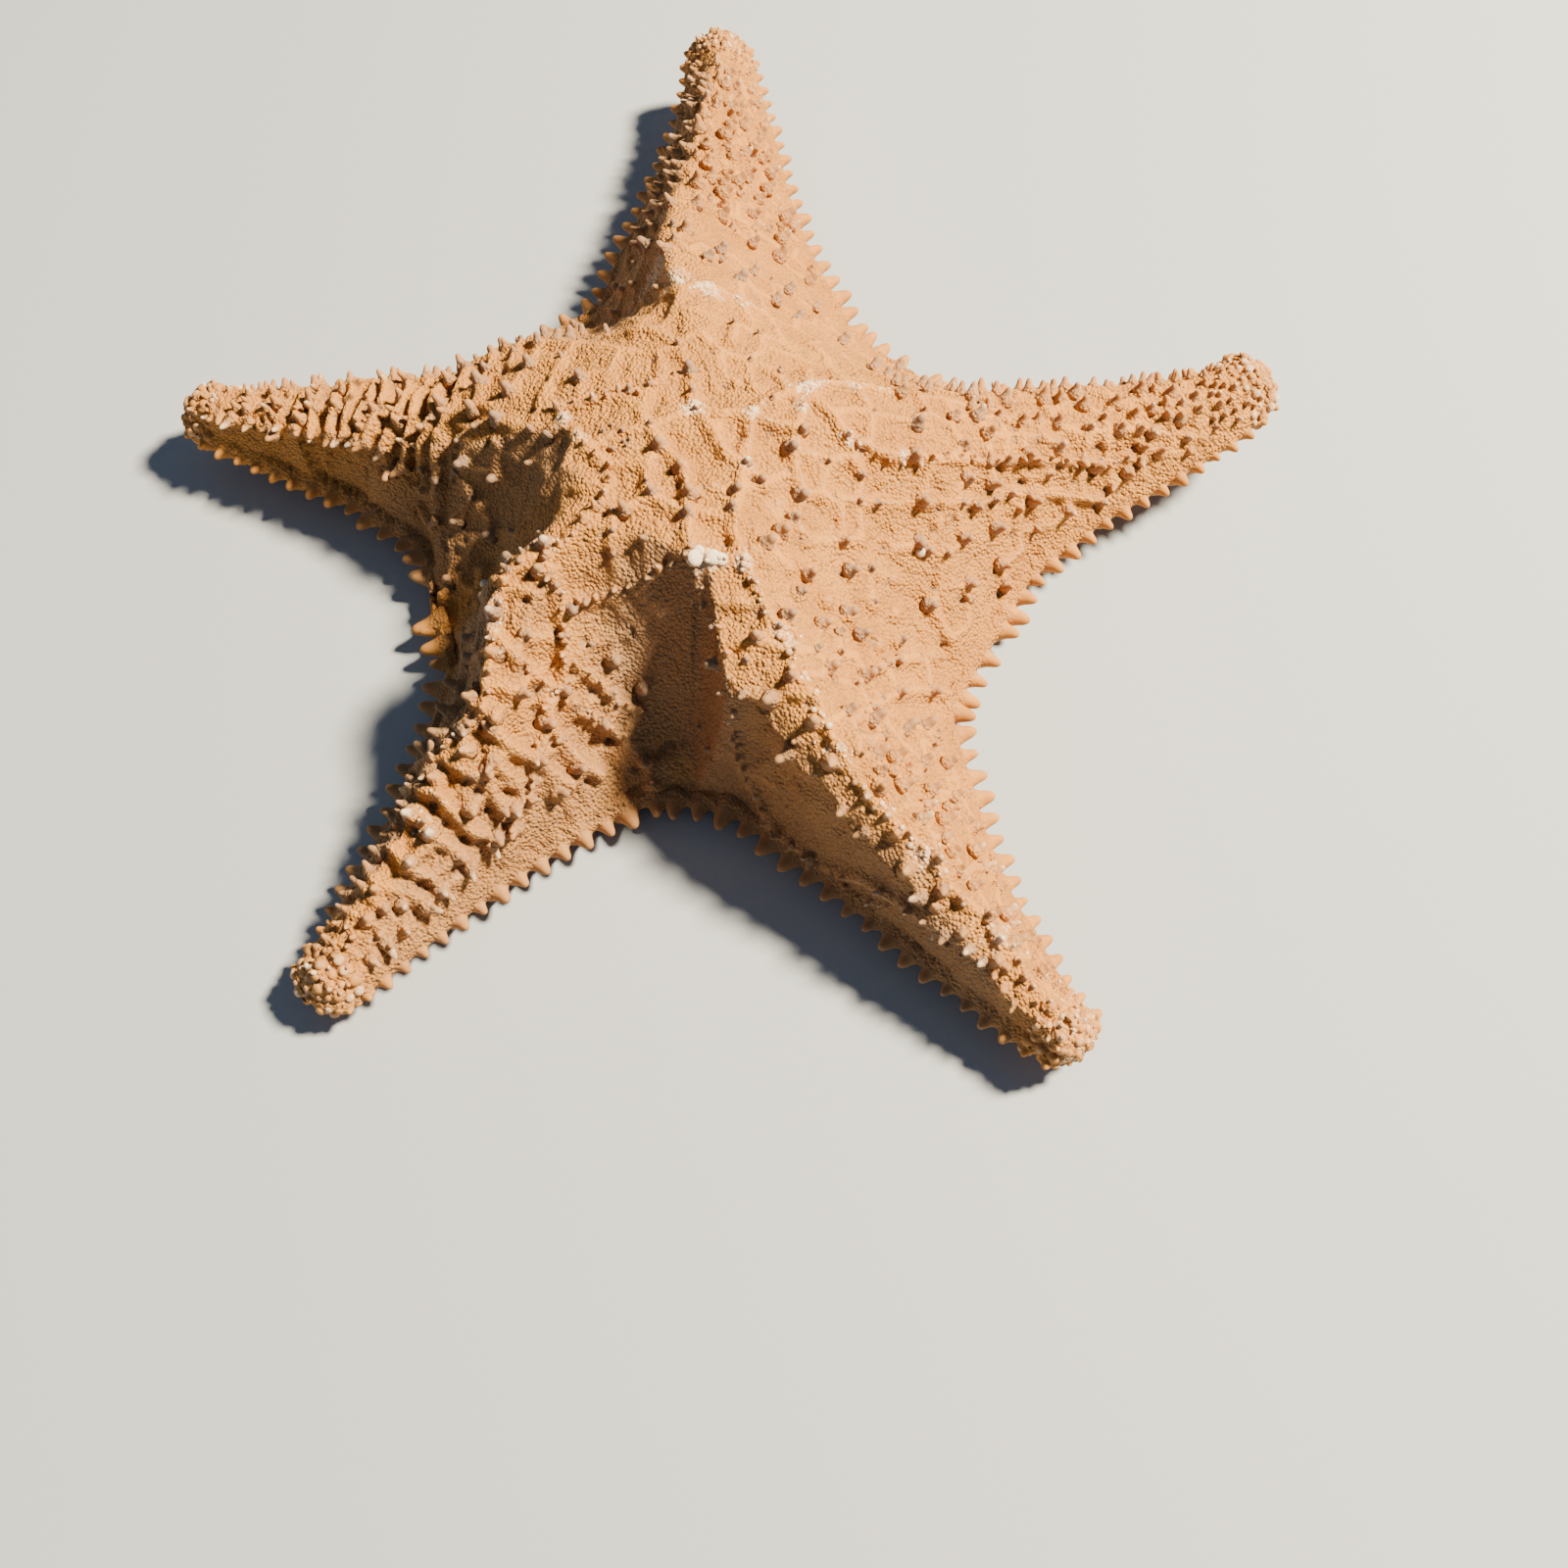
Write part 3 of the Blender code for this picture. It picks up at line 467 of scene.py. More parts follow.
class ArmShape:
    """One fifth of the star: a sector of the disc and the free arm beyond it.

    A row is 0 at the middle of the disc, 1 on the chord between the notches and 2 at
    the tip. Across a row, t runs from -1 at the right edge to 1 at the left edge.
    """

    def __init__(self, arm):
        self.arm = arm
        self.notches = {-1: NOTCHES[arm.right_notch], 1: NOTCHES[arm.left_notch]}
        self.corners = {side: heading(n.angle) * n.radius for side, n in self.notches.items()}
        self.base = (self.corners[-1] + self.corners[1]) / 2
        self.tip = heading(arm.tip_angle) * arm.reach * MM
        self.axis = (self.tip - self.base).normalized()
        self.length = (self.tip - self.base).length
        self.half_chord = (self.corners[1] - self.corners[-1]).length / 2

    def centre(self, u):
        sway = smooth_curve(ARM_STATIONS, self.arm.sway, u) * MM
        return self.base.lerp(self.tip, u) + across(self.axis) * sway

    def row_direction(self, u):
        chord = (self.corners[1] - self.corners[-1]).normalized()
        before, beyond = max(u - DIRECTION_STEP, 0.0), min(u + DIRECTION_STEP, 1.0)
        square = across((self.centre(beyond) - self.centre(before)).normalized())
        return chord.lerp(square, float(ease(u / ROWS_TURN))).normalized()

    def tip_cap(self, u):
        """Shrink the last of the arm into a rounded end."""
        share = min(max((u - TIP_CAP_START) / (1.0 - TIP_CAP_START), 0.0), 1.0)
        return math.sqrt(max(1.0 - share * share, 0.0))

    def half_width(self, u):
        widths = [w and w * self.arm.girth * MM for w in ARM_HALF_WIDTHS]
        widths[0] = self.half_chord
        widths[1] = self.half_chord - NOTCH_ROUNDING
        return smooth_curve(WIDTH_STATIONS, widths, u) * self.tip_cap(u)

    def middle_line_height(self, u, side):
        start = self.notches[side].margin_height
        return mix(start, self.arm.tip_height * MM, u ** EDGE_BEND)

    def crest_height(self, row):
        if row <= 1.0:
            return mix(DISC_HEIGHT, self.arm.crest[0] * MM, row ** 2)
        u = row - 1.0
        height = smooth_curve(ARM_STATIONS, self.arm.crest, u) * MM
        return mix(self.arm.tip_height * MM, height, self.tip_cap(u))

    def underside_height(self, row):
        """The level of the strips beside the groove: flat under the disc, then rising."""
        u = max(row - 1.0, 0.0)
        tip_height = self.arm.tip_height * MM
        half_tip = self.arm.crest[-1] * MM - tip_height
        raised = max((u - RESTING_SHARE) / (1.0 - RESTING_SHARE), 0.0)
        lift = (tip_height - half_tip) * raised ** UNDERSIDE_BEND
        return mix(tip_height, lift, self.tip_cap(u))

    def edge_plan(self, row, side, inset):
        """The plan of a line along the edge, set in from its middle line."""
        inward = -heading(self.notches[side].angle)
        if row <= 1.0:
            return (self.corners[side] + inward * inset) * row
        u = row - 1.0
        direction = self.row_direction(u)
        turned = inward.lerp(direction * -side, float(ease(u / EDGE_TURN))).normalized()
        point = self.centre(u) + direction * side * self.half_width(u)
        return point + turned * inset * self.tip_cap(u)

    def upper_edge(self, row, side):
        notch = self.notches[side]
        point = self.edge_plan(row, side, UPPER_EDGE_INSET)
        if row <= 1.0:
            low = notch.margin_height + UPPER_EDGE_RISE
            gentle = smooth_curve(VALLEY_STATIONS, VALLEY_GENTLE, row)
            steep = steep_valley(row, notch.rim)
            point.z = mix(low, DISC_HEIGHT, mix(gentle, steep, notch.steepness))
        else:
            u = row - 1.0
            point.z = self.middle_line_height(u, side) + UPPER_EDGE_RISE * self.tip_cap(u)
        return point

    def middle_line(self, row, side):
        point = self.edge_plan(row, side, 0.0)
        point.z = self.middle_line_height(row - 1.0, side)
        return point

    def lower_edge(self, row, side):
        point = self.edge_plan(row, side, LOWER_EDGE_INSET)
        if row <= 1.0:
            point.z = (self.notches[side].margin_height - LOWER_EDGE_DROP) * row ** 3
        else:
            u = row - 1.0
            low = self.middle_line_height(u, side) - LOWER_EDGE_DROP * self.tip_cap(u)
            point.z = max(low, self.underside_height(row))
        return point

    def crest_share(self, row):
        """Where the crest runs between the right edge, -1, and the left edge, 1."""
        u = max(row - 1.0, 0.0)
        ridge = smooth_curve(ARM_STATIONS, self.arm.ridge, u)
        sway = smooth_curve(ARM_STATIONS, self.arm.sway, u)
        return (ridge - sway) * MM / max(self.half_width(u), LEAST_HALF_WIDTH)

    def fall(self, row, side, shares):
        """The height left, from 1 at the crest to 0 at the upper edge."""
        index = 0 if side < 0 else 1
        free = float(ease((row - 1.0) / FLANKS_CHANGE))
        start, end = self.arm.notch_flanks[index], self.arm.arm_flanks[index]
        shoulder, drop, bend = (mix(a, b, free) for a, b in zip(start, end))
        shoulder *= 1.0 + SHOULDER_WIDENING * max(1.0 - row, 0.0)
        near = 1.0 - drop * (shares / shoulder) ** 2
        left = np.clip((1.0 - shares) / (1.0 - shoulder), 0.0, 1.0)
        return np.where(shares < shoulder, near, (1.0 - drop) * left ** bend)

    def top_row(self, row, shares):
        """Points across the top of a row, with their shares in a fourth column."""
        right, left = (np.array(self.upper_edge(row, side)) for side in (-1, 1))
        shares = np.asarray(shares, float)
        points = right + (left - right) * ((shares + 1.0) / 2)[:, None]
        crest = self.crest_share(row)
        height = self.crest_height(row)
        for side, edge in ((-1, right), (1, left)):
            chosen = (shares < crest) == (side < 0)
            away = (shares[chosen] - crest) / (side - crest)
            points[chosen, 2] = mix(edge[2], height, self.fall(row, side, away))
        return np.column_stack((points, shares))

    def top(self, row, t):
        return Vector(self.top_row(row, [t])[0, :3])

    def top_normal(self, row, t):
        """The direction that the top faces, from the points around one point."""
        along = self.top(row + ROW_STEP, t) - self.top(row - ROW_STEP, t)
        aside = self.top(row, min(t + T_STEP, 1.0)) - self.top(row, max(t - T_STEP, -1.0))
        return along.cross(aside).normalized()

    def disc_place(self, x, y):
        """The row and t of a plan point, or None where it isn't in this sector's disc."""
        right, left = (self.edge_plan(1.0, side, UPPER_EDGE_INSET) for side in (-1, 1))
        area = right.x * left.y - right.y * left.x
        right_share = (x * left.y - y * left.x) / area
        left_share = (right.x * y - right.y * x) / area
        row = right_share + left_share
        if min(right_share, left_share) < 0.0 or row > 1.0:
            return None
        return row, (left_share - right_share) / row

    def wall_row(self, row, side):
        """Points down the wall at the edge, from the upper edge to the lower one."""
        upper, middle, lower = (
            np.array(line(row, side)) for line in (self.upper_edge, self.middle_line, self.lower_edge)
        )
        down = np.linspace(0.0, 1.0, WALL_SAMPLES)[:, None]
        upper_half = middle + (upper - middle) * np.hstack((down[::-1] ** 2,) * 2 + (down[::-1],))
        lower_half = middle + (lower - middle) * np.hstack((down ** 2,) * 2 + (down,))
        points = np.vstack((upper_half, lower_half[1:]))
        return np.column_stack((points, np.full(len(points), float(side))))

    def groove_share(self, row):
        """How far the groove reaches from the middle of a row towards its edges."""
        half = (self.lower_edge(row, 1) - self.lower_edge(row, -1)).length / 2
        narrowing = mix(1.0, GROOVE_SHARE_OF_TIP, row / 2.0) * min(row / MOUTH_ROW, 1.0)
        return min(GROOVE_HALF_WIDTH * narrowing / half, WIDEST_GROOVE) if half else WIDEST_GROOVE

    def underside_row(self, row, shares):
        """Points across the underside, with their shares in a fourth column."""
        right, left = (np.array(self.lower_edge(row, side)) for side in (-1, 1))
        middle = (right + left) / 2
        level = self.underside_height(row)
        lip = self.groove_share(row)
        cap = self.tip_cap(max(row - 1.0, 0.0))
        depth = mix(GROOVE_DEPTH, GROOVE_DEPTH * GROOVE_SHARE_OF_TIP, row / 2.0) * cap
        shares = np.asarray(shares, float)
        out = np.abs(shares)[:, None]
        edge = np.where(shares[:, None] < 0.0, right, left)
        points = middle + (edge - middle) * out
        outward = np.clip((out - lip) / (1.0 - lip), 0.0, 1.0)
        rise = ease((outward - FLAT_SHARE) / (1.0 - FLAT_SHARE))
        mouth = MOUTH_DEPTH * (1.0 - min(row / MOUTH_ROW, 1.0) ** 2)
        hollow = np.clip(1.0 - (out / lip) ** 2, 0.0, 1.0) * depth
        points[:, 2] = (level + (edge[:, 2:] - level) * rise + np.maximum(hollow, mouth))[:, 0]
        return np.column_stack((points, shares))


class SpinePlanner:
    """Decides where the solids' spines of one arm's share of the star stand."""

    def __init__(self, shape):
        self.shape = shape
        self.draw = random.Random(f"{RANDOM_SEED} {shape.arm.name}")
        cut = shape.row_direction(ARM_CUT)
        self.outward = across(cut) * -1.0
        self.cut_point = shape.centre(ARM_CUT)

    def varied(self, spine):
        size = 1.0 + self.draw.uniform(-SIZE_VARIATION, SIZE_VARIATION)
        return spine._replace(length=spine.length * size, radius=spine.radius * size)

    def even_rows(self, curve, first, last, spine, last_spine):
        """Rows along a curve, spaced as the two spines ask, half a space from each end."""
        rows = [mix(first, last, i / CURVE_SAMPLES) for i in range(CURVE_SAMPLES + 1)]
        count = [0.0]
        for i in range(CURVE_SAMPLES):
            spacing = mix(spine.spacing, last_spine.spacing, i / CURVE_SAMPLES)
            count.append(count[-1] + (curve(rows[i + 1]) - curve(rows[i])).length / spacing)
        total = max(round(count[-1]), 1)
        marks = [(k + 0.5) / total * count[-1] for k in range(total)]
        return [smooth_curve(count, rows, mark) for mark in marks]

    def edge_spines(self, first, last, spine, last_spine):
        for side in (-1, 1):
            def curve(row):
                return self.shape.middle_line(row, side)
            for row in self.even_rows(curve, first, last, spine, last_spine):
                row = self.clear_of_cut(curve, row, spine.radius)
                along = curve(row + EDGE_STEP) - curve(row - EDGE_STEP)
                along.z = 0.0
                outward = across(along.normalized()) * side
                rise = EDGE_SPINE_RISE * self.draw.uniform(*EDGE_SPINE_RISE_RANGE)
                outward = (outward + Vector((0.0, 0.0, rise))).normalized()
                share = (row - first) / (last - first)
                sizes = (mix(a, b, share) for a, b in zip(spine, last_spine))
                yield curve(row), outward, self.varied(Spine(*sizes))

    def clear_of_cut(self, curve, row, radius):
        """Slide a row along the edge until a spine there stays on its side of the cut."""
        away = 1.0 if row > 1.0 + ARM_CUT else -1.0
        while abs((curve(row) - self.cut_point).dot(self.outward)) < radius + CUT_CLEARANCE:
            row += away * SLIDE_STEP
        return row

    def rows_of_spines(self, first, last, spine, last_spine):
        """The rows of top spines, with each row's kind, count and shift."""
        def crest(row):
            return self.shape.top(row, self.shape.crest_share(row))
        for index, row in enumerate(self.even_rows(crest, first, last, spine, last_spine)):
            share = (row - first) / (last - first)
            kind = Spine(*(mix(a, b, share) for a, b in zip(spine, last_spine)))
            width = (self.shape.top(row, 1.0) - self.shape.top(row, -1.0)).length
            count = max(round(width * ARC_OVER_WIDTH / kind.spacing), 1)
            yield row, kind, count, STAGGER if index % 2 else -STAGGER

    def top_spines(self, first, last, spine, last_spine):
        rows = list(self.rows_of_spines(first, last, spine, last_spine))
        for middle_row, kind, count, shift in rows:
            step = 2.0 * TOP_SPINE_LIMIT / count
            for place in range(count):
                wander = self.draw.uniform(-PLACE_VARIATION, PLACE_VARIATION)
                t = -TOP_SPINE_LIMIT + step * (place + 0.5 + shift + wander)
                wander = self.draw.uniform(-PLACE_VARIATION, PLACE_VARIATION)
                row = middle_row + wander * (last - first) / len(rows)
                yield self.shape.top(row, t), self.shape.top_normal(row, t), self.varied(kind)

    def disc_knobs(self):
        places = [self.shape.disc_place(x * MM, y * MM) for x, y in DISC_KNOBS]
        for row, t in filter(None, places):
            yield self.shape.top(row, t), self.shape.top_normal(row, t), self.varied(DISC_KNOB)

    def plan(self):
        """All edge spines, then all spines and knobs of the top, as in the solids."""
        start = 1.0 + ARM_CUT
        edge = list(self.edge_spines(1.0, start, EDGE_SPINE, EDGE_SPINE))
        top = list(self.disc_knobs())
        knobs = self.top_spines(FIRST_KNOB_ROW, start, DISC_KNOB, DISC_KNOB)
        top.extend(knob for knob in knobs if -self.beyond_cut(knob) > CUT_CLEARANCE)
        edge.extend(self.edge_spines(start, LAST_SPINE_ROW, EDGE_SPINE, EDGE_TIP_SPINE))
        spines = self.top_spines(start, LAST_SPINE_ROW, ARM_SPINE, ARM_TIP_SPINE)
        top.extend(spine for spine in spines if self.beyond_cut(spine) > CUT_CLEARANCE)
        return edge, top

    def beyond_cut(self, planned):
        """How far the nearest side of a spine stands from the cut, towards the arm."""
        root, direction, spine = planned
        reach = [(point - self.cut_point).dot(self.outward)
                 for point in (root, root + direction * spine.length)]
        if min(reach) > 0.0:
            return min(reach) - spine.radius
        return max(reach) + spine.radius


SHAPES = [ArmShape(arm) for arm in ARMS]
PLANNERS = [SpinePlanner(shape) for shape in SHAPES]
PLANS = [planner.plan() for planner in PLANNERS]


def run_along(points):
    """How far along a line each of its points lies."""
    steps = np.linalg.norm(np.diff(points[:, :3], axis=0), axis=1)
    return np.concatenate(([0.0], np.cumsum(steps)))


def even_points(points, step):
    """Points set evenly along a line of points, with their other columns."""
    run = run_along(points)
    count = max(round(run[-1] / step), 1)
    marks = np.linspace(0.0, run[-1], count + 1)
    return np.column_stack([np.interp(marks, run, column) for column in points.T])


class SkinMaker:
    """Collects the skin's points row by row and laces them into triangles."""

    def __init__(self, step, wall_step, under_step):
        self.step = step
        self.wall_step = wall_step
        self.under_step = under_step
        self.points = []
        self.zones = []
        self.rows = []
        self.triangles = []

    def line(self, points, zone, row):
        first = len(self.points)
        self.points.extend(points[:, :3])
        self.zones.extend([zone] * len(points))
        self.rows.extend([row] * len(points))
        return range(first, len(self.points))

    def lace(self, first, second):
        """Join two rows of unlike counts, each evenly spread, with triangles."""
        i = j = 0
        n, m = len(first) - 1, len(second) - 1
        while i < n or j < m:
            if j == m or (i < n and (i + 1) * m <= (j + 1) * n):
                self.triangles.append((first[i], second[j], first[i + 1]))
                i += 1
            else:
                self.triangles.append((first[i], second[j], second[j + 1]))
                j += 1

    def top_line(self, shape, row):
        return self.line(even_points(shape.top_row(row, TOP_SAMPLES), self.step), TOP, row)

    def under_line(self, shape, row):
        points = even_points(shape.underside_row(row, UNDER_SAMPLES), self.under_step)
        return self.line(points, UNDER, row)

    def wall_line(self, shape, row, side):
        points = even_points(shape.wall_row(row, side), self.wall_step)
        return self.line(points if side > 0 else points[::-1], WALL, row)

    def loop(self, shape, row):
        """The four sides of a row of the free arm: top, left wall, underside, right wall."""
        return [
            self.top_line(shape, row), self.wall_line(shape, row, 1),
            self.under_line(shape, row), self.wall_line(shape, row, -1),
        ]

    def sector(self, shape):
        top = self.line(np.array([[0.0, 0.0, DISC_HEIGHT]]), TOP, 0.0)
        under = self.line(np.array([[0.0, 0.0, MOUTH_DEPTH]]), UNDER, 0.0)
        for k in range(1, DISC_ROW_COUNT + 1):
            row = k / DISC_ROW_COUNT
            next_top, next_under = self.top_line(shape, row), self.under_line(shape, row)
            self.lace(top, next_top)
            self.lace(under, next_under)
            top, under = next_top, next_under
        loop = [top, self.wall_line(shape, 1.0, 1), under, self.wall_line(shape, 1.0, -1)]
        count = round(shape.length * TIP_CAP_START / self.step)
        stations = [TIP_CAP_START * k / count for k in range(1, count + 1)]
        turns = [math.pi / 2 * k / (TIP_ROW_COUNT + 1) for k in range(1, TIP_ROW_COUNT + 1)]
        stations.extend(mix(TIP_CAP_START, 1.0, math.sin(turn)) for turn in turns)
        for u in stations:
            next_loop = self.loop(shape, 1.0 + u)
            for first, second in zip(loop, next_loop):
                self.lace(first, second)
            loop = next_loop
        end = shape.centre(1.0)
        end.z = shape.arm.tip_height * MM
        tip = self.line(np.array([tuple(end)]), TOP, 2.0)
        for side in loop:
            self.lace(side, tip)


def deselect_all():
    if bpy.context.object and bpy.context.object.mode != "OBJECT":
        bpy.ops.object.mode_set(mode="OBJECT")
    bpy.ops.object.select_all(action="DESELECT")


def link_mesh(name, points, faces):
    """A new mesh object, selected and active."""
    deselect_all()
    data = bpy.data.meshes.new(name)
    data.from_pydata(points, [], faces)
    piece = bpy.data.objects.new(name, data)
    bpy.context.scene.collection.objects.link(piece)
    piece.select_set(True)
    bpy.context.view_layer.objects.active = piece
    return piece


def write_values(piece, name, values):
    layer = piece.data.attributes.new(name, "FLOAT", "POINT")
    layer.data.foreach_set("value", np.asarray(values, np.float32))


def read_values(piece, name):
    values = np.zeros(len(piece.data.vertices), np.float32)
    piece.data.attributes[name].data.foreach_get("value", values)
    return values


def read_places(piece):
    places = np.zeros(len(piece.data.vertices) * 3, np.float32)
    piece.data.vertices.foreach_get("co", places)
    return places.reshape(-1, 3).astype(float)


def read_facings(piece):
    facings = np.zeros(len(piece.data.vertices) * 3, np.float32)
    piece.data.vertex_normals.foreach_get("vector", facings)
    return facings.reshape(-1, 3).astype(float)


def tree_of(numbered):
    """A tree of numbered places, for finding the nearest one."""
    numbered = list(numbered)
    tree = KDTree(len(numbered))
    for number, place in numbered:
        tree.insert(place, number)
    tree.balance()
    return tree


class SkinReader:
    """Finds the skin's surface below a place in plan, or nearest to a place."""

    def __init__(self, skin):
        self.places = read_places(skin)
        self.facings = read_facings(skin)
        self.zones = read_values(skin, "zone")
        self.rows = read_values(skin, "row")
        flat = self.places * (1.0, 1.0, 0.0)
        self.plan = tree_of((int(i), flat[i]) for i in np.flatnonzero(self.zones == TOP))
        self.space = tree_of((int(i), self.places[i]) for i in np.flatnonzero(self.zones != UNDER))

    def settle(self, place):
        """The point of the surface by a place near it, and the way it faces there."""
        _, index, _ = self.space.find(place)
        facing = Vector(self.facings[index]).normalized()
        drop = (Vector(self.places[index]) - place).dot(facing)
        return place + facing * drop, facing

    def below(self, x, y):
        _, index, _ = self.plan.find((x, y, 0.0))
        place = Vector((x, y, self.places[index][2]))
        return self.settle(place)

    def row_at(self, place):
        _, index, _ = self.space.find(place)
        return float(self.rows[index])


def plan_place(x, y):
    """A place in millimetres from the disc's middle, in metres from the origin."""
    return STAR_CENTRE.x + x * MM, STAR_CENTRE.y + y * MM


def place_round(middle, turn, away):
    """The place at an angle and a distance from a middle given in millimetres."""
    return plan_place(middle[0] + away * math.cos(turn), middle[1] + away * math.sin(turn))


def mixed_weave(first, second, share):
    return Weave(*(mix(a, b, float(share)) for a, b in zip(first, second)))


def weave_at(shape, row):
    """How the net is woven at a row of an arm's share of the star."""
    weave = mixed_weave(DISC_WEAVE, WEAVES[shape.arm.name], ramp(row, *DISC_TO_ARM))
    return mixed_weave(weave, TIP_WEAVE, ramp(row, *ARM_TO_TIP))


def shape_at(place):
    """The arm's share of the star that a place belongs to."""
    plan = Vector((place.x - STAR_CENTRE.x, place.y - STAR_CENTRE.y, 0.0)).normalized()
    return max(SHAPES, key=lambda shape: plan.dot(heading(shape.arm.tip_angle)))


# A node of the net, with the solids' spine that stands on it or None.
Node = namedtuple("Node", "place facing row weave shape spine direction")


class RidgeNet:
    """The net of ridges on the top: its nodes and the bars that join them."""

    def __init__(self, reader):
        self.reader = reader
        self.nodes = []
        self.bars = {}
        self.taken = np.zeros((0, 3))
        self.draw = random.Random(f"{RANDOM_SEED} net")
        for shape, (_, top) in zip(SHAPES, PLANS):
            for root, direction, spine in top:
                self.add(root + STAR_CENTRE, shape, spine, direction)
        self.fold_ends = []
        self.trace_main_ridges()
        for shape in SHAPES:
            if shape.arm.name in FOLDS:
                self.trace_folds(shape, FOLDS[shape.arm.name])
        for shape, planner in zip(SHAPES, PLANNERS):
            self.fill_disc(shape)
            self.fill_rows(shape, planner, FIRST_KNOB_ROW, 1.0 + ARM_CUT, DISC_KNOB, DISC_KNOB)
            self.fill_rows(shape, planner, 1.0 + ARM_CUT, LAST_SPINE_ROW, ARM_SPINE, ARM_TIP_SPINE)
        self.join_neighbours()

    def crowded(self, place, distance):
        if not len(self.taken):
            return False
        return np.min(np.linalg.norm(self.taken - np.array(place), axis=1)) < distance

    def add(self, place, shape, spine=None, direction=None):
        settled, facing = self.reader.settle(place)
        row = self.reader.row_at(settled)
        weave = weave_at(shape, row)
        self.nodes.append(Node(settled, facing, row, weave, shape, spine, direction))
        self.taken = np.vstack((self.taken, np.array(settled)))
        return len(self.nodes) - 1

    def find_or_add(self, place):
        """The node already at a place, or a new one there."""
        if self.crowded(place, RIDGE_NODE_STEP * SNAP):
            return int(np.argmin(np.linalg.norm(self.taken - np.array(place), axis=1)))
        return self.add(place, shape_at(place))

    def trace_main_ridges(self):
        """Nodes and bars along the main ridges."""
        for corners in MAIN_RIDGES.values():
            self.trace(ridge_points(self.reader, corners, RIDGE_NODE_STEP), 1.0)

    def trace(self, points, strength):
        before = None
        for point in points:
            index = self.find_or_add(Vector(point))
            if before is not None and before != index:
                pair = (min(before, index), max(before, index))
                self.bars[pair] = self.draw.uniform(*MAIN_BARS) * strength
            before = index

    def trace_folds(self, shape, folds):
        """Folds that cross an arm one after the other, each ending in a spine."""
        row = folds.first
        while row < folds.last:
            spacing = mix(folds.spacing, folds.last_spacing, (row - 1.0)) * MM / shape.length
            corners = []
            for k in range(FOLD_CORNERS + 1):
                t = mix(folds.start, folds.end, k / FOLD_CORNERS)
                wander = self.draw.uniform(-FOLD_WANDER, FOLD_WANDER) * spacing
                corners.append(tuple(shape.top(row + wander, t) + STAR_CENTRE))
            points = even_points(np.array(corners), RIDGE_NODE_STEP)
            self.trace(points, folds.strength)
            end, before = Vector(points[-1]), Vector(points[-2])
            self.fold_ends.append((end, (end - before).normalized()))
            row += spacing * self.draw.uniform(*FOLD_SPACING_VARIATION)

    def place_node(self, shape, row, t, spacing):
        """Add a node near a place on the top, unless another stands too close."""
        wander = self.draw.uniform(-NODE_WANDER, NODE_WANDER) * spacing
        aside = self.draw.uniform(-NODE_WANDER, NODE_WANDER) * spacing
        point = shape.top(row, t)
        along = (shape.top(row + ROW_STEP, t) - point).normalized()
        side = shape.top_normal(row, t).cross(along)
        point = point + along * wander + side * aside + STAR_CENTRE
        if not self.crowded(point, spacing * CLOSEST_SHARE):
            self.add(point, shape)

    def fill_disc(self, shape):
        """Rows of nodes over the middle of the disc."""
        spacing = DISC_WEAVE.along * MM
        row = FIRST_NET_ROW
        while row < FIRST_KNOB_ROW:
            line = shape.top_row(row, TOP_SAMPLES)
            run = run_along(line)
            count = max(round(run[-1] / spacing), 1)
            for place in range(count):
                t = float(np.interp((place + 0.5) / count * run[-1], run, line[:, 3]))
                self.place_node(shape, row, t, spacing)
            row += spacing / shape.base.length * DISC_ROWS_SPACING

    def fill_rows(self, shape, planner, first, last, spine, last_spine):
        """Nodes between the solids' spines, in rows between and along theirs."""
        rows = list(planner.rows_of_spines(first, last, spine, last_spine))
        for (row, kind, count, shift), (next_row, _, _, next_shift) in zip(rows, rows[1:] + rows[-1:]):
            weave = weave_at(shape, row)
            rows_between = max(round(kind.spacing / MM / weave.along), 1)
            fine = count * max(round(kind.spacing / MM / weave.across), 1)
            for step in range(rows_between):
                share = step / rows_between
                fine_row = mix(row, next_row, share)
                slant = mix(shift, next_shift, share) + 0.5
                for place in range(fine + 1):
                    t = TOP_SPINE_LIMIT * NET_WIDENING * (2.0 * (place + slant) / fine - 1.0)
                    if abs(t) < EDGE_OF_NET:
                        spacing = min(weave.along, weave.across) * MM
                        self.place_node(shape, min(fine_row, LAST_SPINE_ROW), t, spacing)

    def join_neighbours(self):
        """Bars between nodes that no third node is nearer to than they are to each other."""
        tree = tree_of((index, node.place) for index, node in enumerate(self.nodes))
        for i, node in enumerate(self.nodes):
            spacing = max(node.weave.along, node.weave.across)
            if spacing < NO_BARS_UNDER:
                continue
            near = tree.find_range(node.place, spacing * LONGEST_BAR * MM)
            for _, j, gap in near:
                if j <= i or (i, j) in self.bars:
                    continue
                other = self.nodes[j]
                nearer = (k for place, k, away in near
                          if k not in (i, j) and away < gap and (place - other.place).length < gap)
                if next(nearer, None) is None and self.keeps(node, other):
                    self.bars[(i, j)] = self.draw.uniform(*MINOR_BARS)

    def keeps(self, node, other):
        """Whether a bar stays: fewer do on the disc, along some arms and in calm regions."""
        if self.draw.random() < calm_at(node.place):
            return False
        if node.row < 1.0:
            return self.draw.random() > LOST_DISC_BARS
        along = abs((other.place - node.place).normalized().dot(node.shape.axis))
        return along < CROSSWISE or self.draw.random() < node.weave.lengthwise

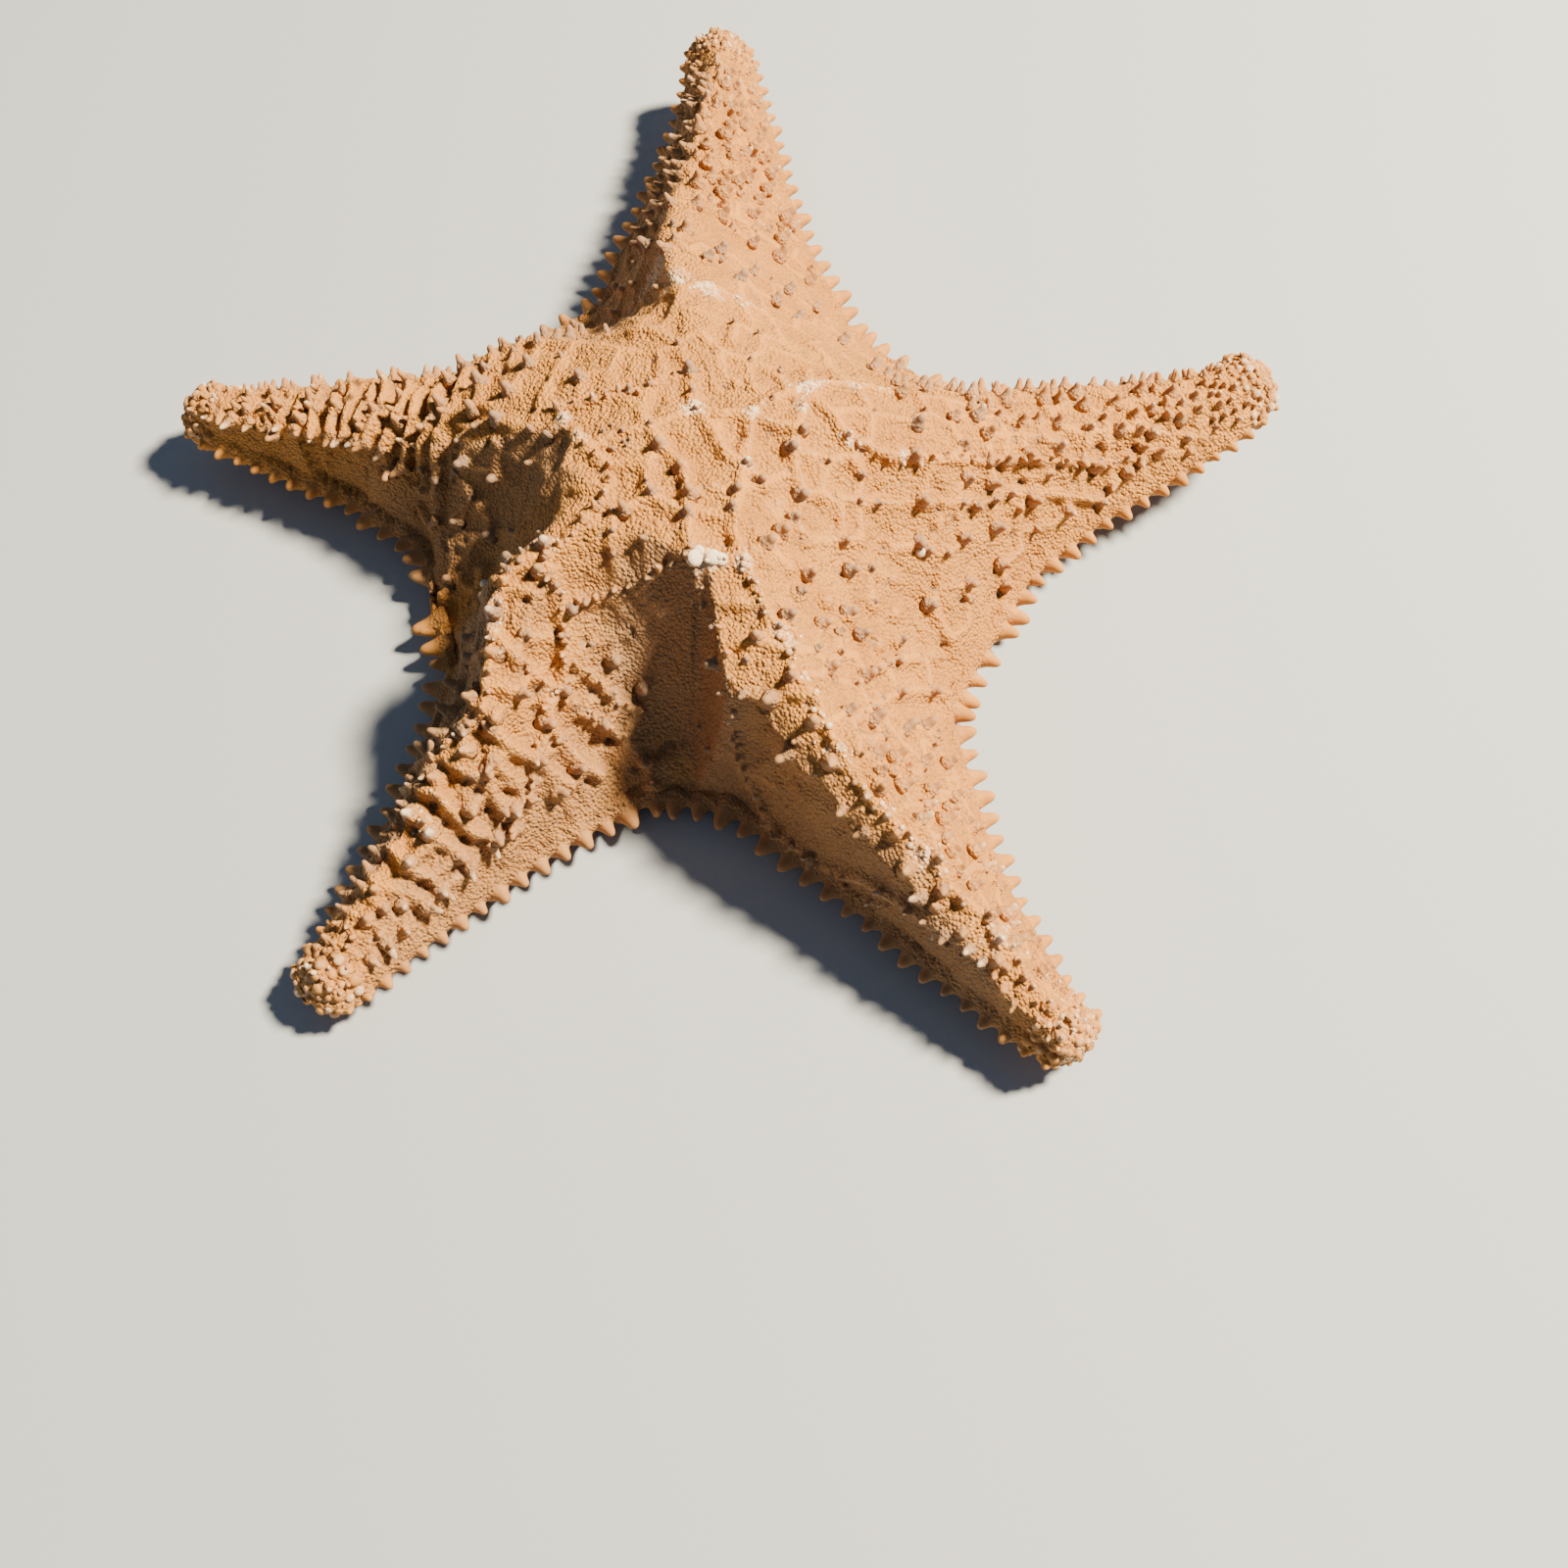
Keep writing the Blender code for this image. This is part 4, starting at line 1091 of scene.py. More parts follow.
    def bar_samples(self):
        """Points along all bars, with a ridge's half-width and height at each."""
        for (i, j), strength in self.bars.items():
            start, end = self.nodes[i], self.nodes[j]
            count = max(round((end.place - start.place).length / BAR_SAMPLE_STEP), 2)
            weave = mixed_weave(start.weave, end.weave, 0.5)
            for k in range(count + 1):
                place, _ = self.reader.settle(start.place.lerp(end.place, k / count))
                waist = 1.0 - WAIST * math.sin(math.pi * k / count)
                half_width = weave.half_width * mix(NARROWEST, 1.0, strength)
                yield place, half_width, weave.height * strength * waist
        for node in self.nodes:
            weave = node.weave
            yield node.place, weave.half_width * NODE_HALF_WIDTH, weave.height * NODE_HEIGHT


def calm_at(place):
    """How far the net fades at a place, from 0 to 1."""
    gaps = (math.dist(place[:2], plan_place(x, y)) / (radius * MM) for x, y, radius in CALM_REGIONS)
    return max(float(bell(gap)) for gap in gaps)


def ridge_points(reader, corners, step):
    """Points set evenly on the skin along a ridge given in plan."""
    lifted = [reader.below(*plan_place(x, y))[0] for x, y in corners]
    for point in even_points(np.array(lifted), step):
        yield reader.settle(Vector(point))[0]


class Workshop:
    """What later operators need of the pieces made before: the net and the skin."""

    net = None
    reader = None


def crust_at(places):
    """How whitish the crust is at places, from the named patches and the arms' tips."""
    total = np.zeros(len(places))
    for x, y, radius, strength in CRUSTS:
        centre = np.array(plan_place(x, y))
        away = np.linalg.norm(places[:, :2] - centre, axis=1) / (radius * MM)
        total += strength * np.exp(-away * away)
    return total


def crust_by(place):
    """How whitish the crust is at one place."""
    return float(crust_at(np.array([place]))[0])


def painted_shade_at(places, levelness):
    """How much painted shade darkens the skin at places: most on the steep flanks that face left and down,
    away from the key light.
    """
    total = np.zeros(len(places))
    for strength, width, corners in PAINTED_SHADE_FLANKS:
        flat = np.array([(*plan_place(x, y), 0.0) for x, y in corners])
        tree = tree_of(enumerate(even_points(flat, PAINTED_SHADE_STEP)))
        gaps = np.array([tree.find((x, y, 0.0))[2] for x, y, _ in places]) / (width * MM)
        total = np.maximum(total, strength * (1.0 - ramp(gaps, *PAINTED_SHADE_FADE)))
    return total * (1.0 - ramp(levelness, *PAINTED_SHADE_LEVELNESS))


def noise_at(places, size, seed=0.0):
    """Smooth noise from about -1 to 1, with features of a size."""
    shift = Vector((seed, seed * 2.0, seed * 3.0))
    return np.array([noise.noise(Vector(place) / size + shift) for place in places])


def finish_piece(piece, material, replaced=()):
    """Shade a piece smooth, give it its material and set it on the body."""
    piece.data.materials.clear()
    piece.data.materials.append(material)
    piece.data.shade_smooth()
    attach(piece, "root")
    if replaced:
        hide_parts(*replaced)


class Socket:
    """An output of a shader node, on which arithmetic adds Math nodes."""

    def __init__(self, finish, output):
        self.finish = finish
        self.output = output

    def maths(self, operation, first, second=0.0):
        return self.finish.node("ShaderNodeMath", {"operation": operation}, {0: first, 1: second})

    def __add__(self, other):
        return self.maths("ADD", self, other)

    __radd__ = __add__

    def __sub__(self, other):
        return self.maths("SUBTRACT", self, other)

    def __rsub__(self, other):
        return self.maths("SUBTRACT", other, self)

    def __mul__(self, other):
        return self.maths("MULTIPLY", self, other)

    __rmul__ = __mul__

    def least(self, other):
        return self.maths("MINIMUM", self, other)


class Finish:
    """A material made of nodes, ending in one Principled shader."""

    def __init__(self, name):
        self.material = bpy.data.materials.new(name)
        self.material.use_nodes = True
        self.tree = self.material.node_tree
        self.tree.nodes.clear()
        self.place = self.node("ShaderNodeTexCoord", output="Object")

    def node(self, kind, settings=None, sockets=None, output=0):
        node = self.tree.nodes.new(kind)
        for name, value in (settings or {}).items():
            setattr(node, name, value)
        for name, value in (sockets or {}).items():
            if isinstance(value, Socket):
                self.tree.links.new(value.output, node.inputs[name])
            else:
                node.inputs[name].default_value = value
        return Socket(self, node.outputs[output]) if len(node.outputs) else node

    def ramp(self, value, low, high):
        """Go from 0 to 1 as a value goes from low to high."""
        sockets = {"Value": value, "From Min": low, "From Max": high}
        return self.node("ShaderNodeMapRange", {"interpolation_type": "SMOOTHSTEP"}, sockets)

    def noise(self, size):
        sockets = {"Vector": self.place, "Scale": 1.0 / size, "Detail": 3.0, "Roughness": 0.55}
        return self.node("ShaderNodeTexNoise", None, sockets)

    def cells(self, size):
        """Distance from the middles of cells of a size, as a share of it."""
        sockets = {"Vector": self.place, "Scale": 1.0 / size, "Randomness": 1.0}
        return self.node("ShaderNodeTexVoronoi", None, sockets)

    def value(self, name):
        return self.node("ShaderNodeAttribute", {"attribute_name": name}, output="Fac")

    def mix(self, share, first, second):
        """Mix two colours."""
        sockets = {0: share, 6: first, 7: second}
        return self.node("ShaderNodeMix", {"data_type": "RGBA"}, sockets, output=2)

    def bump(self, height, strength, distance, below=None):
        sockets = {"Height": height, "Strength": strength, "Distance": distance}
        if below is not None:
            sockets["Normal"] = below
        return self.node("ShaderNodeBump", None, sockets)

    def end(self, colour, roughness, normal, specular):
        shader = self.node("ShaderNodeBsdfPrincipled", None, {
            "Base Color": colour,
            "Roughness": roughness,
            "Metallic": 0.0,
            "Specular IOR Level": specular,
            "Normal": normal,
        })
        self.node("ShaderNodeOutputMaterial", None, {"Surface": shader})
        return self.material


def opaque(colour):
    return (colour[0], colour[1], colour[2], 1.0)


class SeaStarSizes(bpy.types.PropertyGroup):
    """Sizes of the skin's relief and of what stands on it."""

    skin_step: FloatProperty(
        name="Skin step", description="Distance between points of the skin's top",
        default=0.75 * MM, unit="LENGTH", precision=5)
    wall_step: FloatProperty(
        name="Wall step", description="Distance between points down the wall at the edge",
        default=1.15 * MM, unit="LENGTH", precision=5)
    under_step: FloatProperty(
        name="Underside step", description="Distance between points across the underside",
        default=3.2 * MM, unit="LENGTH", precision=5)
    granule_size: FloatProperty(
        name="Granule size", description="Size of the grains in the fields",
        default=0.8 * MM, unit="LENGTH", precision=5)
    granule_height: FloatProperty(
        name="Granule height", description="Height of the grains in the fields",
        default=0.75 * MM, unit="LENGTH", precision=5)


class SeaStarColours(bpy.types.PropertyGroup):
    """Colours of the dried skin, its spines and crust, of the painted shade, and of the floor."""

    sand: FloatVectorProperty(
        name="Sand", description="Colour of the ridges and of most of the skin",
        default=(0.50, 0.212, 0.042), subtype="COLOR", size=3)
    ochre: FloatVectorProperty(
        name="Ochre", description="Deeper colour in the fields",
        default=(0.41, 0.165, 0.03), subtype="COLOR", size=3)
    chalk: FloatVectorProperty(
        name="Chalk", description="Whitish crust on worn nodes and arm tips",
        default=(0.68, 0.56, 0.44), subtype="COLOR", size=3)
    knob: FloatVectorProperty(
        name="Knob", description="Greyish brown of the knobs",
        default=(0.25, 0.15, 0.098), subtype="COLOR", size=3)
    # Painted shade: the darker greyish brown painted where shade falls, on the steep flanks, in the hollows
    # and under the star.
    dusk: FloatVectorProperty(
        name="Dusk", description="Greyish brown of the skin on the steep sides of the valleys",
        default=(0.17, 0.115, 0.08), subtype="COLOR", size=3)
    # Umber is the own colour of some spines and plates; in the pits between grains it is partly painted
    # shade.
    umber: FloatVectorProperty(
        name="Umber", description="Darker brown of the pits between grains",
        default=(0.18, 0.098, 0.052), subtype="COLOR", size=3)
    floor: FloatVectorProperty(
        name="Floor", description="Colour of the plain floor",
        default=(0.35, 0.375, 0.43), subtype="COLOR", size=3)


def sizes():
    return bpy.context.scene.sea_star_sizes


def colours():
    return bpy.context.scene.sea_star_colours


# The skin's finish: how large its patches and specks are, between which values each change
# runs, and how strongly each colour shows.
SKIN_PATCH_SIZE = 9.0 * MM
SKIN_SPECK_SIZE = 1.3 * MM
SKIN_PATCHES = (0.52, 0.85)
FIELD_EDGE = (0.25, 0.8)
FIELD_OCHRE = 0.15
PIT_EDGE = (0.4, 0.8)
PIT_COLOUR_AND_SHADE_SHARE = 0.5
BLOOM_PATCHES = (0.72, 0.95)
BLOOM_RIDGES = (0.5, 1.0)
BLOOM_SHARE = 0.16
FLECK_EDGE = (0.2, 0.6)
FLECK_SHARE = 0.7
LEAST_GRAIN = 0.65
SKIN_SPECK_HEIGHT = 0.3 * MM
DRY_ROUGHNESS = 0.95

# The same for the finish of spines, knobs and plates.
SPINE_PATCH_SIZE = 7.0 * MM
SPINE_SPECK_SIZE = 0.9 * MM
SPINE_PATCHES = (0.5, 0.85)
OWN_COLOUR_RISE = (-0.5, 0.15)
GRAINY_FOOT = (0.0, 0.5)
SPINE_FLECK_EDGE = (0.15, 0.75)
SPINE_FLECK_SHARE = 0.85
SPINE_PIT_COLOUR_AND_SHADE_SHARE = 0.45
SPINE_GRAIN_SHARE = 0.7
SPINE_SPECK_HEIGHT = 0.2 * MM
SPINE_ROUGHNESS = 0.9


def skin_finish():
    """Granular fields between smooth ridges, with patchy sand, ochre and chalk."""
    finish = Finish("dried_skin_fields")
    ridge = finish.value("ridge")
    crust = finish.value("crust")
    grain = finish.cells(sizes().granule_size)
    coarse = finish.noise(SKIN_PATCH_SIZE)
    fine = finish.noise(SKIN_SPECK_SIZE)
    patches = finish.ramp(coarse + fine * 0.35, *SKIN_PATCHES)
    colour = finish.mix(patches, opaque(colours().sand), opaque(colours().ochre))
    field = finish.ramp(1.0 - ridge, *FIELD_EDGE)
    colour = finish.mix(field * FIELD_OCHRE, colour, opaque(colours().ochre))
    # The pits between grains get umber: partly the skin's own darker brown, partly painted shade in these
    # recesses.
    pits = finish.ramp(grain, *PIT_EDGE) * field
    colour = finish.mix(pits * PIT_COLOUR_AND_SHADE_SHARE, colour, opaque(colours().umber))
    # Painted shade: a darker greyish brown mixed in where shade falls, on the steep flanks, the hollows and
    # the underside.
    colour = finish.mix(finish.value("dusk") * PAINTED_SHADE_SHARE, colour, opaque(colours().dusk))
    bloom = finish.ramp(fine + coarse * 0.5, *BLOOM_PATCHES) * finish.ramp(ridge, *BLOOM_RIDGES)
    colour = finish.mix(bloom * BLOOM_SHARE, colour, opaque(colours().chalk))
    flecks = finish.ramp(crust + fine * 1.2 - 0.6, *FLECK_EDGE)
    colour = finish.mix(flecks * FLECK_SHARE, colour, opaque(colours().chalk))
    roughness = 0.72 + fine * 0.25
    grains = (1.0 - grain) * (field * (1.0 - LEAST_GRAIN) + LEAST_GRAIN)
    normal = finish.bump(grains, 1.0, sizes().granule_height)
    normal = finish.bump(fine, 0.4, SKIN_SPECK_HEIGHT, normal)
    return finish.end(colour, roughness.least(DRY_ROUGHNESS), normal, 0.22)


def spine_finish(name, own_colour, own_share):
    """Smooth dried spines: sandy and grainy at the foot, their own colour above it."""
    finish = Finish(name)
    rise = finish.value("rise")
    crust = finish.value("crust")
    tone = finish.value("tone")
    coarse = finish.noise(SPINE_PATCH_SIZE)
    fine = finish.noise(SPINE_SPECK_SIZE)
    patches = finish.ramp(coarse + fine * 0.3, *SPINE_PATCHES)
    colour = finish.mix(patches, opaque(colours().sand), opaque(colours().ochre))
    own = finish.ramp(rise, *OWN_COLOUR_RISE) * tone * own_share
    colour = finish.mix(own, colour, opaque(own_colour))
    # Painted shade on the spines that stand on the shaded flanks.
    colour = finish.mix(finish.value("dusk") * PAINTED_SHADE_SHARE, colour, opaque(colours().dusk))
    flecks = finish.ramp(crust * (rise * 0.8 + 0.4) + fine * 0.8 - 0.4, *SPINE_FLECK_EDGE)
    colour = finish.mix(flecks * SPINE_FLECK_SHARE, colour, opaque(colours().chalk))
    grain = finish.cells(sizes().granule_size)
    foot = 1.0 - finish.ramp(rise, *GRAINY_FOOT)
    # The same umber in the pits at the spines' grainy feet: partly own colour, partly painted shade.
    pits = finish.ramp(grain, *PIT_EDGE) * foot
    colour = finish.mix(pits * SPINE_PIT_COLOUR_AND_SHADE_SHARE, colour, opaque(colours().umber))
    normal = finish.bump((1.0 - grain) * foot, 1.0, sizes().granule_height * SPINE_GRAIN_SHARE)
    normal = finish.bump(fine, 0.3, SPINE_SPECK_HEIGHT, normal)
    return finish.end(colour, (0.6 + fine * 0.3).least(SPINE_ROUGHNESS), normal, 0.25)


# One copy of a form: where it stands, which way it points, its size and its colouring.
Bead = namedtuple("Bead", "place facing radius length crust tone bend", defaults=((0.0, 0.0, 0.0),))


def model_round(name, outline, sides):
    """A round form that stands on the origin, drawn up ring by ring from its foot.

    The outline gives the radius and height of each ring; the last height is the tip's.
    """
    deselect_all()
    radius, height = outline[0]
    bpy.ops.mesh.primitive_circle_add(
        vertices=sides, radius=radius, fill_type="NGON", location=(0.0, 0.0, height))
    form = bpy.context.object
    form.name = name
    bpy.ops.object.transform_apply(location=True, rotation=True, scale=True)
    bpy.ops.object.mode_set(mode="EDIT")
    bpy.ops.mesh.select_all(action="SELECT")
    for next_radius, next_height in outline[1:]:
        bpy.ops.mesh.extrude_region_move(
            TRANSFORM_OT_translate={"value": (0.0, 0.0, next_height - height)})
        if next_radius > 0.0:
            share = next_radius / radius
            bpy.ops.transform.resize(value=(share, share, 1.0))
        else:
            bpy.ops.mesh.merge(type="CENTER")
        radius, height = next_radius, next_height
    bpy.ops.mesh.select_all(action="SELECT")
    bpy.ops.mesh.normals_make_consistent(inside=False)
    bpy.ops.object.mode_set(mode="OBJECT")
    return form


def plant(name, form, beads, material, seed):
    """Copy a form to every bead and join the copies into one piece."""
    draw = random.Random(f"{RANDOM_SEED} {seed}")
    base = read_places(form)
    faces = [tuple(face.vertices) for face in form.data.polygons]
    bpy.data.objects.remove(form, do_unlink=True)
    heights = np.clip(base[:, 2], 0.0, 1.0)
    points, all_faces = [], []
    for item in beads:
        up = item.facing.normalized()
        side = up.orthogonal().normalized()
        turn = draw.uniform(0.0, math.tau)
        first = side * math.cos(turn) + up.cross(side) * math.sin(turn)
        second = up.cross(first)
        axes = np.array([first * item.radius, second * item.radius, up * item.length])
        shift = len(points) * len(base)
        points.append(base @ axes + np.array(item.place) + np.outer(heights ** 2, np.array(item.bend)))
        all_faces.extend(tuple(corner + shift for corner in face) for face in faces)
    piece = link_mesh(name, np.vstack(points), all_faces)
    roots = np.array([item.place for item in beads])
    levelness = np.array([item.facing.normalized().z for item in beads])
    write_values(piece, "rise", np.tile(heights, len(beads)))
    write_values(piece, "crust", np.repeat([item.crust for item in beads], len(base)))
    write_values(piece, "tone", np.repeat([item.tone for item in beads], len(base)))
    # Painted shade for the copies that stand on the shaded flanks.
    write_values(piece, "dusk", np.repeat(painted_shade_at(roots, levelness), len(base)))
    finish_piece(piece, material)


# The rings of each form from its foot to its tip: shares of its radius and of its height.
EDGE_OUTLINE = ((1.75, -0.42), (1.5, -0.14), (1.2, 0.04), (0.95, 0.22), (0.77, 0.42), (0.65, 0.6),
                (0.54, 0.76), (0.41, 0.88), (0.23, 0.97), (0.0, 1.0))
SPINE_OUTLINE = ((1.45, -0.5), (1.15, -0.1), (0.88, 0.1), (0.7, 0.3), (0.58, 0.5), (0.49, 0.7),
                 (0.37, 0.86), (0.21, 0.96), (0.0, 1.0))
KNOB_OUTLINE = ((1.4, -0.6), (1.05, -0.1), (0.76, 0.14), (0.67, 0.38), (0.62, 0.6), (0.52, 0.81),
                (0.31, 0.95), (0.0, 1.0))
CHALK_OUTLINE = ((1.05, -0.9), (1.02, 0.2), (0.9, 0.62), (0.62, 0.9), (0.3, 0.95), (0.0, 0.93))
GRAIN_OUTLINE = ((1.0, -0.6), (0.96, 0.15), (0.78, 0.55), (0.45, 0.88), (0.0, 1.0))
PLATE_OUTLINE = ((1.0, -0.6), (0.96, 0.2), (0.6, 0.8), (0.0, 1.0))


class SEASTAR_OT_skin(bpy.types.Operator):
    """Model the skin of the whole star, with the swellings and folds of its ridges"""

    bl_idname = "sea_star.skin"
    bl_label = "Skin"

    # Reaches and fades are shares of a ridge's own half-width and height.
    RIDGE_REACH = 2.1
    RIDGE_SMOOTHNESS = 1.7
    FIELD_START = 1.5
    HEIGHT_SUNK = 0.4
    FIELD_SUNK = 0.35
    FIELD_SLOPE = (1.0, 2.4)
    RIDGE_WANDER = 0.4
    RIDGE_WANDER_SIZE = 2.6 * MM
    # Ridges fade on the steep walls of the disc: by how much, from and to which levelness.
    WALL_FADE = 0.75
    WALL_LEVELNESS = (0.3, 0.75)
    LEAVING_DISC = (0.95, 1.15)
    # Unevenness, as the size of its features, a seed and its height in millimetres. The
    # finer kinds have one height on the ridges and another in the fields.
    SWELLS = ((14.0 * MM, 1.0, 0.5), (6.5 * MM, 7.0, 0.35))
    BUMPS = ((4.0 * MM, 5.0, 0.15, 0.35), (1.7 * MM, 9.0, 0.04, 0.16))
    UNDERSIDE_SUNK = 0.55
    UNDERSIDE_RIDGE = 0.3
    # Painted shade: the share of it laid on the whole underside, and the depths in millimetres over which
    # the hollows beside the nodes get it.
    UNDERSIDE_PAINTED_SHADE = 0.5
    HOLLOW_PAINTED_SHADE = (0.15, 1.0)
    # The swelling round a spine of the usual radius, in millimetres, and its reach in radii.
    EDGE_SWELLING = 0.75
    TOP_SWELLING = 0.45
    USUAL_RADIUS = 1.6 * MM
    SWELLING_REACH = 1.9

    def execute(self, context):
        maker = SkinMaker(sizes().skin_step, sizes().wall_step, sizes().under_step)
        for shape in SHAPES:
            maker.sector(shape)
        places = np.array(maker.points) + np.array(STAR_CENTRE)
        skin = link_mesh("skin", places, maker.triangles)
        write_values(skin, "zone", maker.zones)
        write_values(skin, "row", maker.rows)
        bpy.ops.object.mode_set(mode="EDIT")
        bpy.ops.mesh.select_all(action="SELECT")
        bpy.ops.mesh.remove_doubles(threshold=SAME_POINT)
        bpy.ops.object.mode_set(mode="OBJECT")
        Workshop.net = RidgeNet(SkinReader(skin))
        self.raise_relief(skin, Workshop.net)
        Workshop.reader = SkinReader(skin)
        finish_piece(skin, skin_finish(), NODES)
        return {"FINISHED"}

    def raise_relief(self, skin, net):
        """Raise the ridges, swell the feet of the spines and roughen the fields."""
        reader = net.reader
        places = reader.places
        gaps, widths, heights = self.nearest_ridge(net, places)
        under = reader.zones == UNDER
        wall = reader.zones == WALL
        tips = ramp(reader.rows, *ARM_TO_TIP)
        on_disc = 1.0 - ramp(reader.rows, *self.LEAVING_DISC)
        steep = 1.0 - ramp(reader.facings[:, 2], *self.WALL_LEVELNESS)
        kept = 1.0 - self.WALL_FADE * on_disc * steep
        widths = widths * (1.0 + self.RIDGE_WANDER * noise_at(places, self.RIDGE_WANDER_SIZE, 3.0))
        heights = heights * kept
        rise = heights * (bell(gaps / (self.RIDGE_REACH * widths)) - self.HEIGHT_SUNK)
        rise -= self.FIELD_SUNK * heights * ramp(gaps / widths, *self.FIELD_SLOPE)
        field = 1.0 - bell(gaps / (self.FIELD_START * widths))
        for size, seed, height in self.SWELLS:
            rise += (1.0 - tips) * noise_at(places, size, seed) * height
        for size, seed, on_ridge, in_field in self.BUMPS:
            rise += noise_at(places, size, seed) * mix(on_ridge, in_field, field)
        sunk = self.hollows(net, places)
        rise -= sunk
        swelling = self.spine_feet(places)
        rise = np.where(wall, swelling, np.where(under, -self.UNDERSIDE_SUNK, rise + swelling))
        moved = places + reader.facings * (rise * MM)[:, None]
        moved[:, 2] = np.maximum(moved[:, 2], 0.0)
        skin.data.vertices.foreach_set("co", moved.astype(np.float32).ravel())
        skin.data.update()
        scar = np.linalg.norm(places[:, :2] - np.array(plan_place(*SCAR_PLACE)), axis=1)
        smooth = bell(gaps / (self.RIDGE_SMOOTHNESS * widths)) * kept
        smooth = np.maximum(smooth, bell(scar / (SCAR_RADIUS * MM)) ** 0.5)
        write_values(skin, "ridge", np.where(under, self.UNDERSIDE_RIDGE, smooth))
        crust = crust_at(places) + TIP_CRUST * ramp(reader.rows, TIP_CRUST_START, 2.0)
        write_values(skin, "crust", np.where(under, 0.0, crust))
        # Painted shade: the shaded flanks, the hollows by their depth and the underside get a darker colour
        # painted on.
        dusk = np.maximum(painted_shade_at(places, reader.facings[:, 2]), ramp(sunk, *self.HOLLOW_PAINTED_SHADE))
        write_values(skin, "dusk", np.where(under, self.UNDERSIDE_PAINTED_SHADE, dusk))

    def hollows(self, net, places):
        """How deep the hollows beside the nodes are at places, in millimetres."""
        draw = random.Random(f"{RANDOM_SEED} hollows")
        hollows = []
        for node in net.nodes:
            out = float(ramp(node.row, *DISC_TO_ARM))
            kind = ARM_HOLLOWS[node.shape.arm.name]
            size = mix(DISC_HOLLOWS.size, kind.size, out)
            size *= mix(1.0, HOLLOW_SIZE_AT_TIP, float(ramp(node.row, *ARM_TO_TIP)))
            if draw.random() > mix(DISC_HOLLOWS.share, kind.share, out):
                continue
            aside = heading(HOLLOW_SIDE + draw.gauss(0.0, HOLLOW_SPREAD)) * HOLLOW_DISTANCE * size
            place, _ = net.reader.settle(node.place + aside)
            hollows.append((place, draw.uniform(*HOLLOW_RADIUS) * size, draw.uniform(*HOLLOW_DEPTH) * size))
        found = self.nearest(hollows, places)
        gaps = np.array([gap / MM / hollows[index][1] for _, index, gap in found])
        depths = np.array([hollows[index][2] for _, index, _ in found])
        return depths * bell(gaps)

    def nearest(self, items, places):
        """What a tree of the items' own places finds for each place."""
        tree = tree_of((index, item[0]) for index, item in enumerate(items))
        return [tree.find(place) for place in places]

    def nearest_ridge(self, net, places):
        """The distance to the nearest ridge, and its half-width and height, in millimetres."""
        samples = list(net.bar_samples())
        found = self.nearest(samples, places)
        gaps = np.array([gap for _, _, gap in found]) / MM
        sizes_there = np.array([samples[index][1:] for _, index, _ in found])
        return gaps, sizes_there[:, 0], sizes_there[:, 1]

    def spine_feet(self, places):
        """How far the skin swells round the feet of the solids' spines, in millimetres."""
        feet = [(root + STAR_CENTRE, spine.radius, self.EDGE_SWELLING)
                for edge, _ in PLANS for root, _, spine in edge]
        feet.extend((root + STAR_CENTRE, spine.radius, self.TOP_SWELLING)
                    for _, top in PLANS for root, _, spine in top)
        found = self.nearest(feet, places)
        gaps = np.array([gap / feet[index][1] for _, index, gap in found])
        heights = np.array([feet[index][2] * feet[index][1] / self.USUAL_RADIUS for _, index, _ in found])
        return heights * bell(gaps / self.SWELLING_REACH)


class SEASTAR_OT_edge_spines(bpy.types.Operator):
    """Set the row of stout spines round the edge of the star"""

    bl_idname = "sea_star.edge_spines"
    bl_label = "Edge spines"

    SUNK = 0.3 * MM
    WIDENING = 1.1

    def execute(self, context):
        beads = []
        for edge, _ in PLANS:
            for root, outward, spine in edge:
                place = root + STAR_CENTRE - outward * self.SUNK
                radius, length = spine.radius * self.WIDENING, spine.length + self.SUNK
                beads.append(Bead(place, outward, radius, length, crust_by(place), tone=1.0))
        form = model_round("edge_form", EDGE_OUTLINE, 12)
        material = spine_finish("edge_spine_skin", colours().umber, 0.12)
        plant("edge_spines", form, beads, material, "edge")
        return {"FINISHED"}


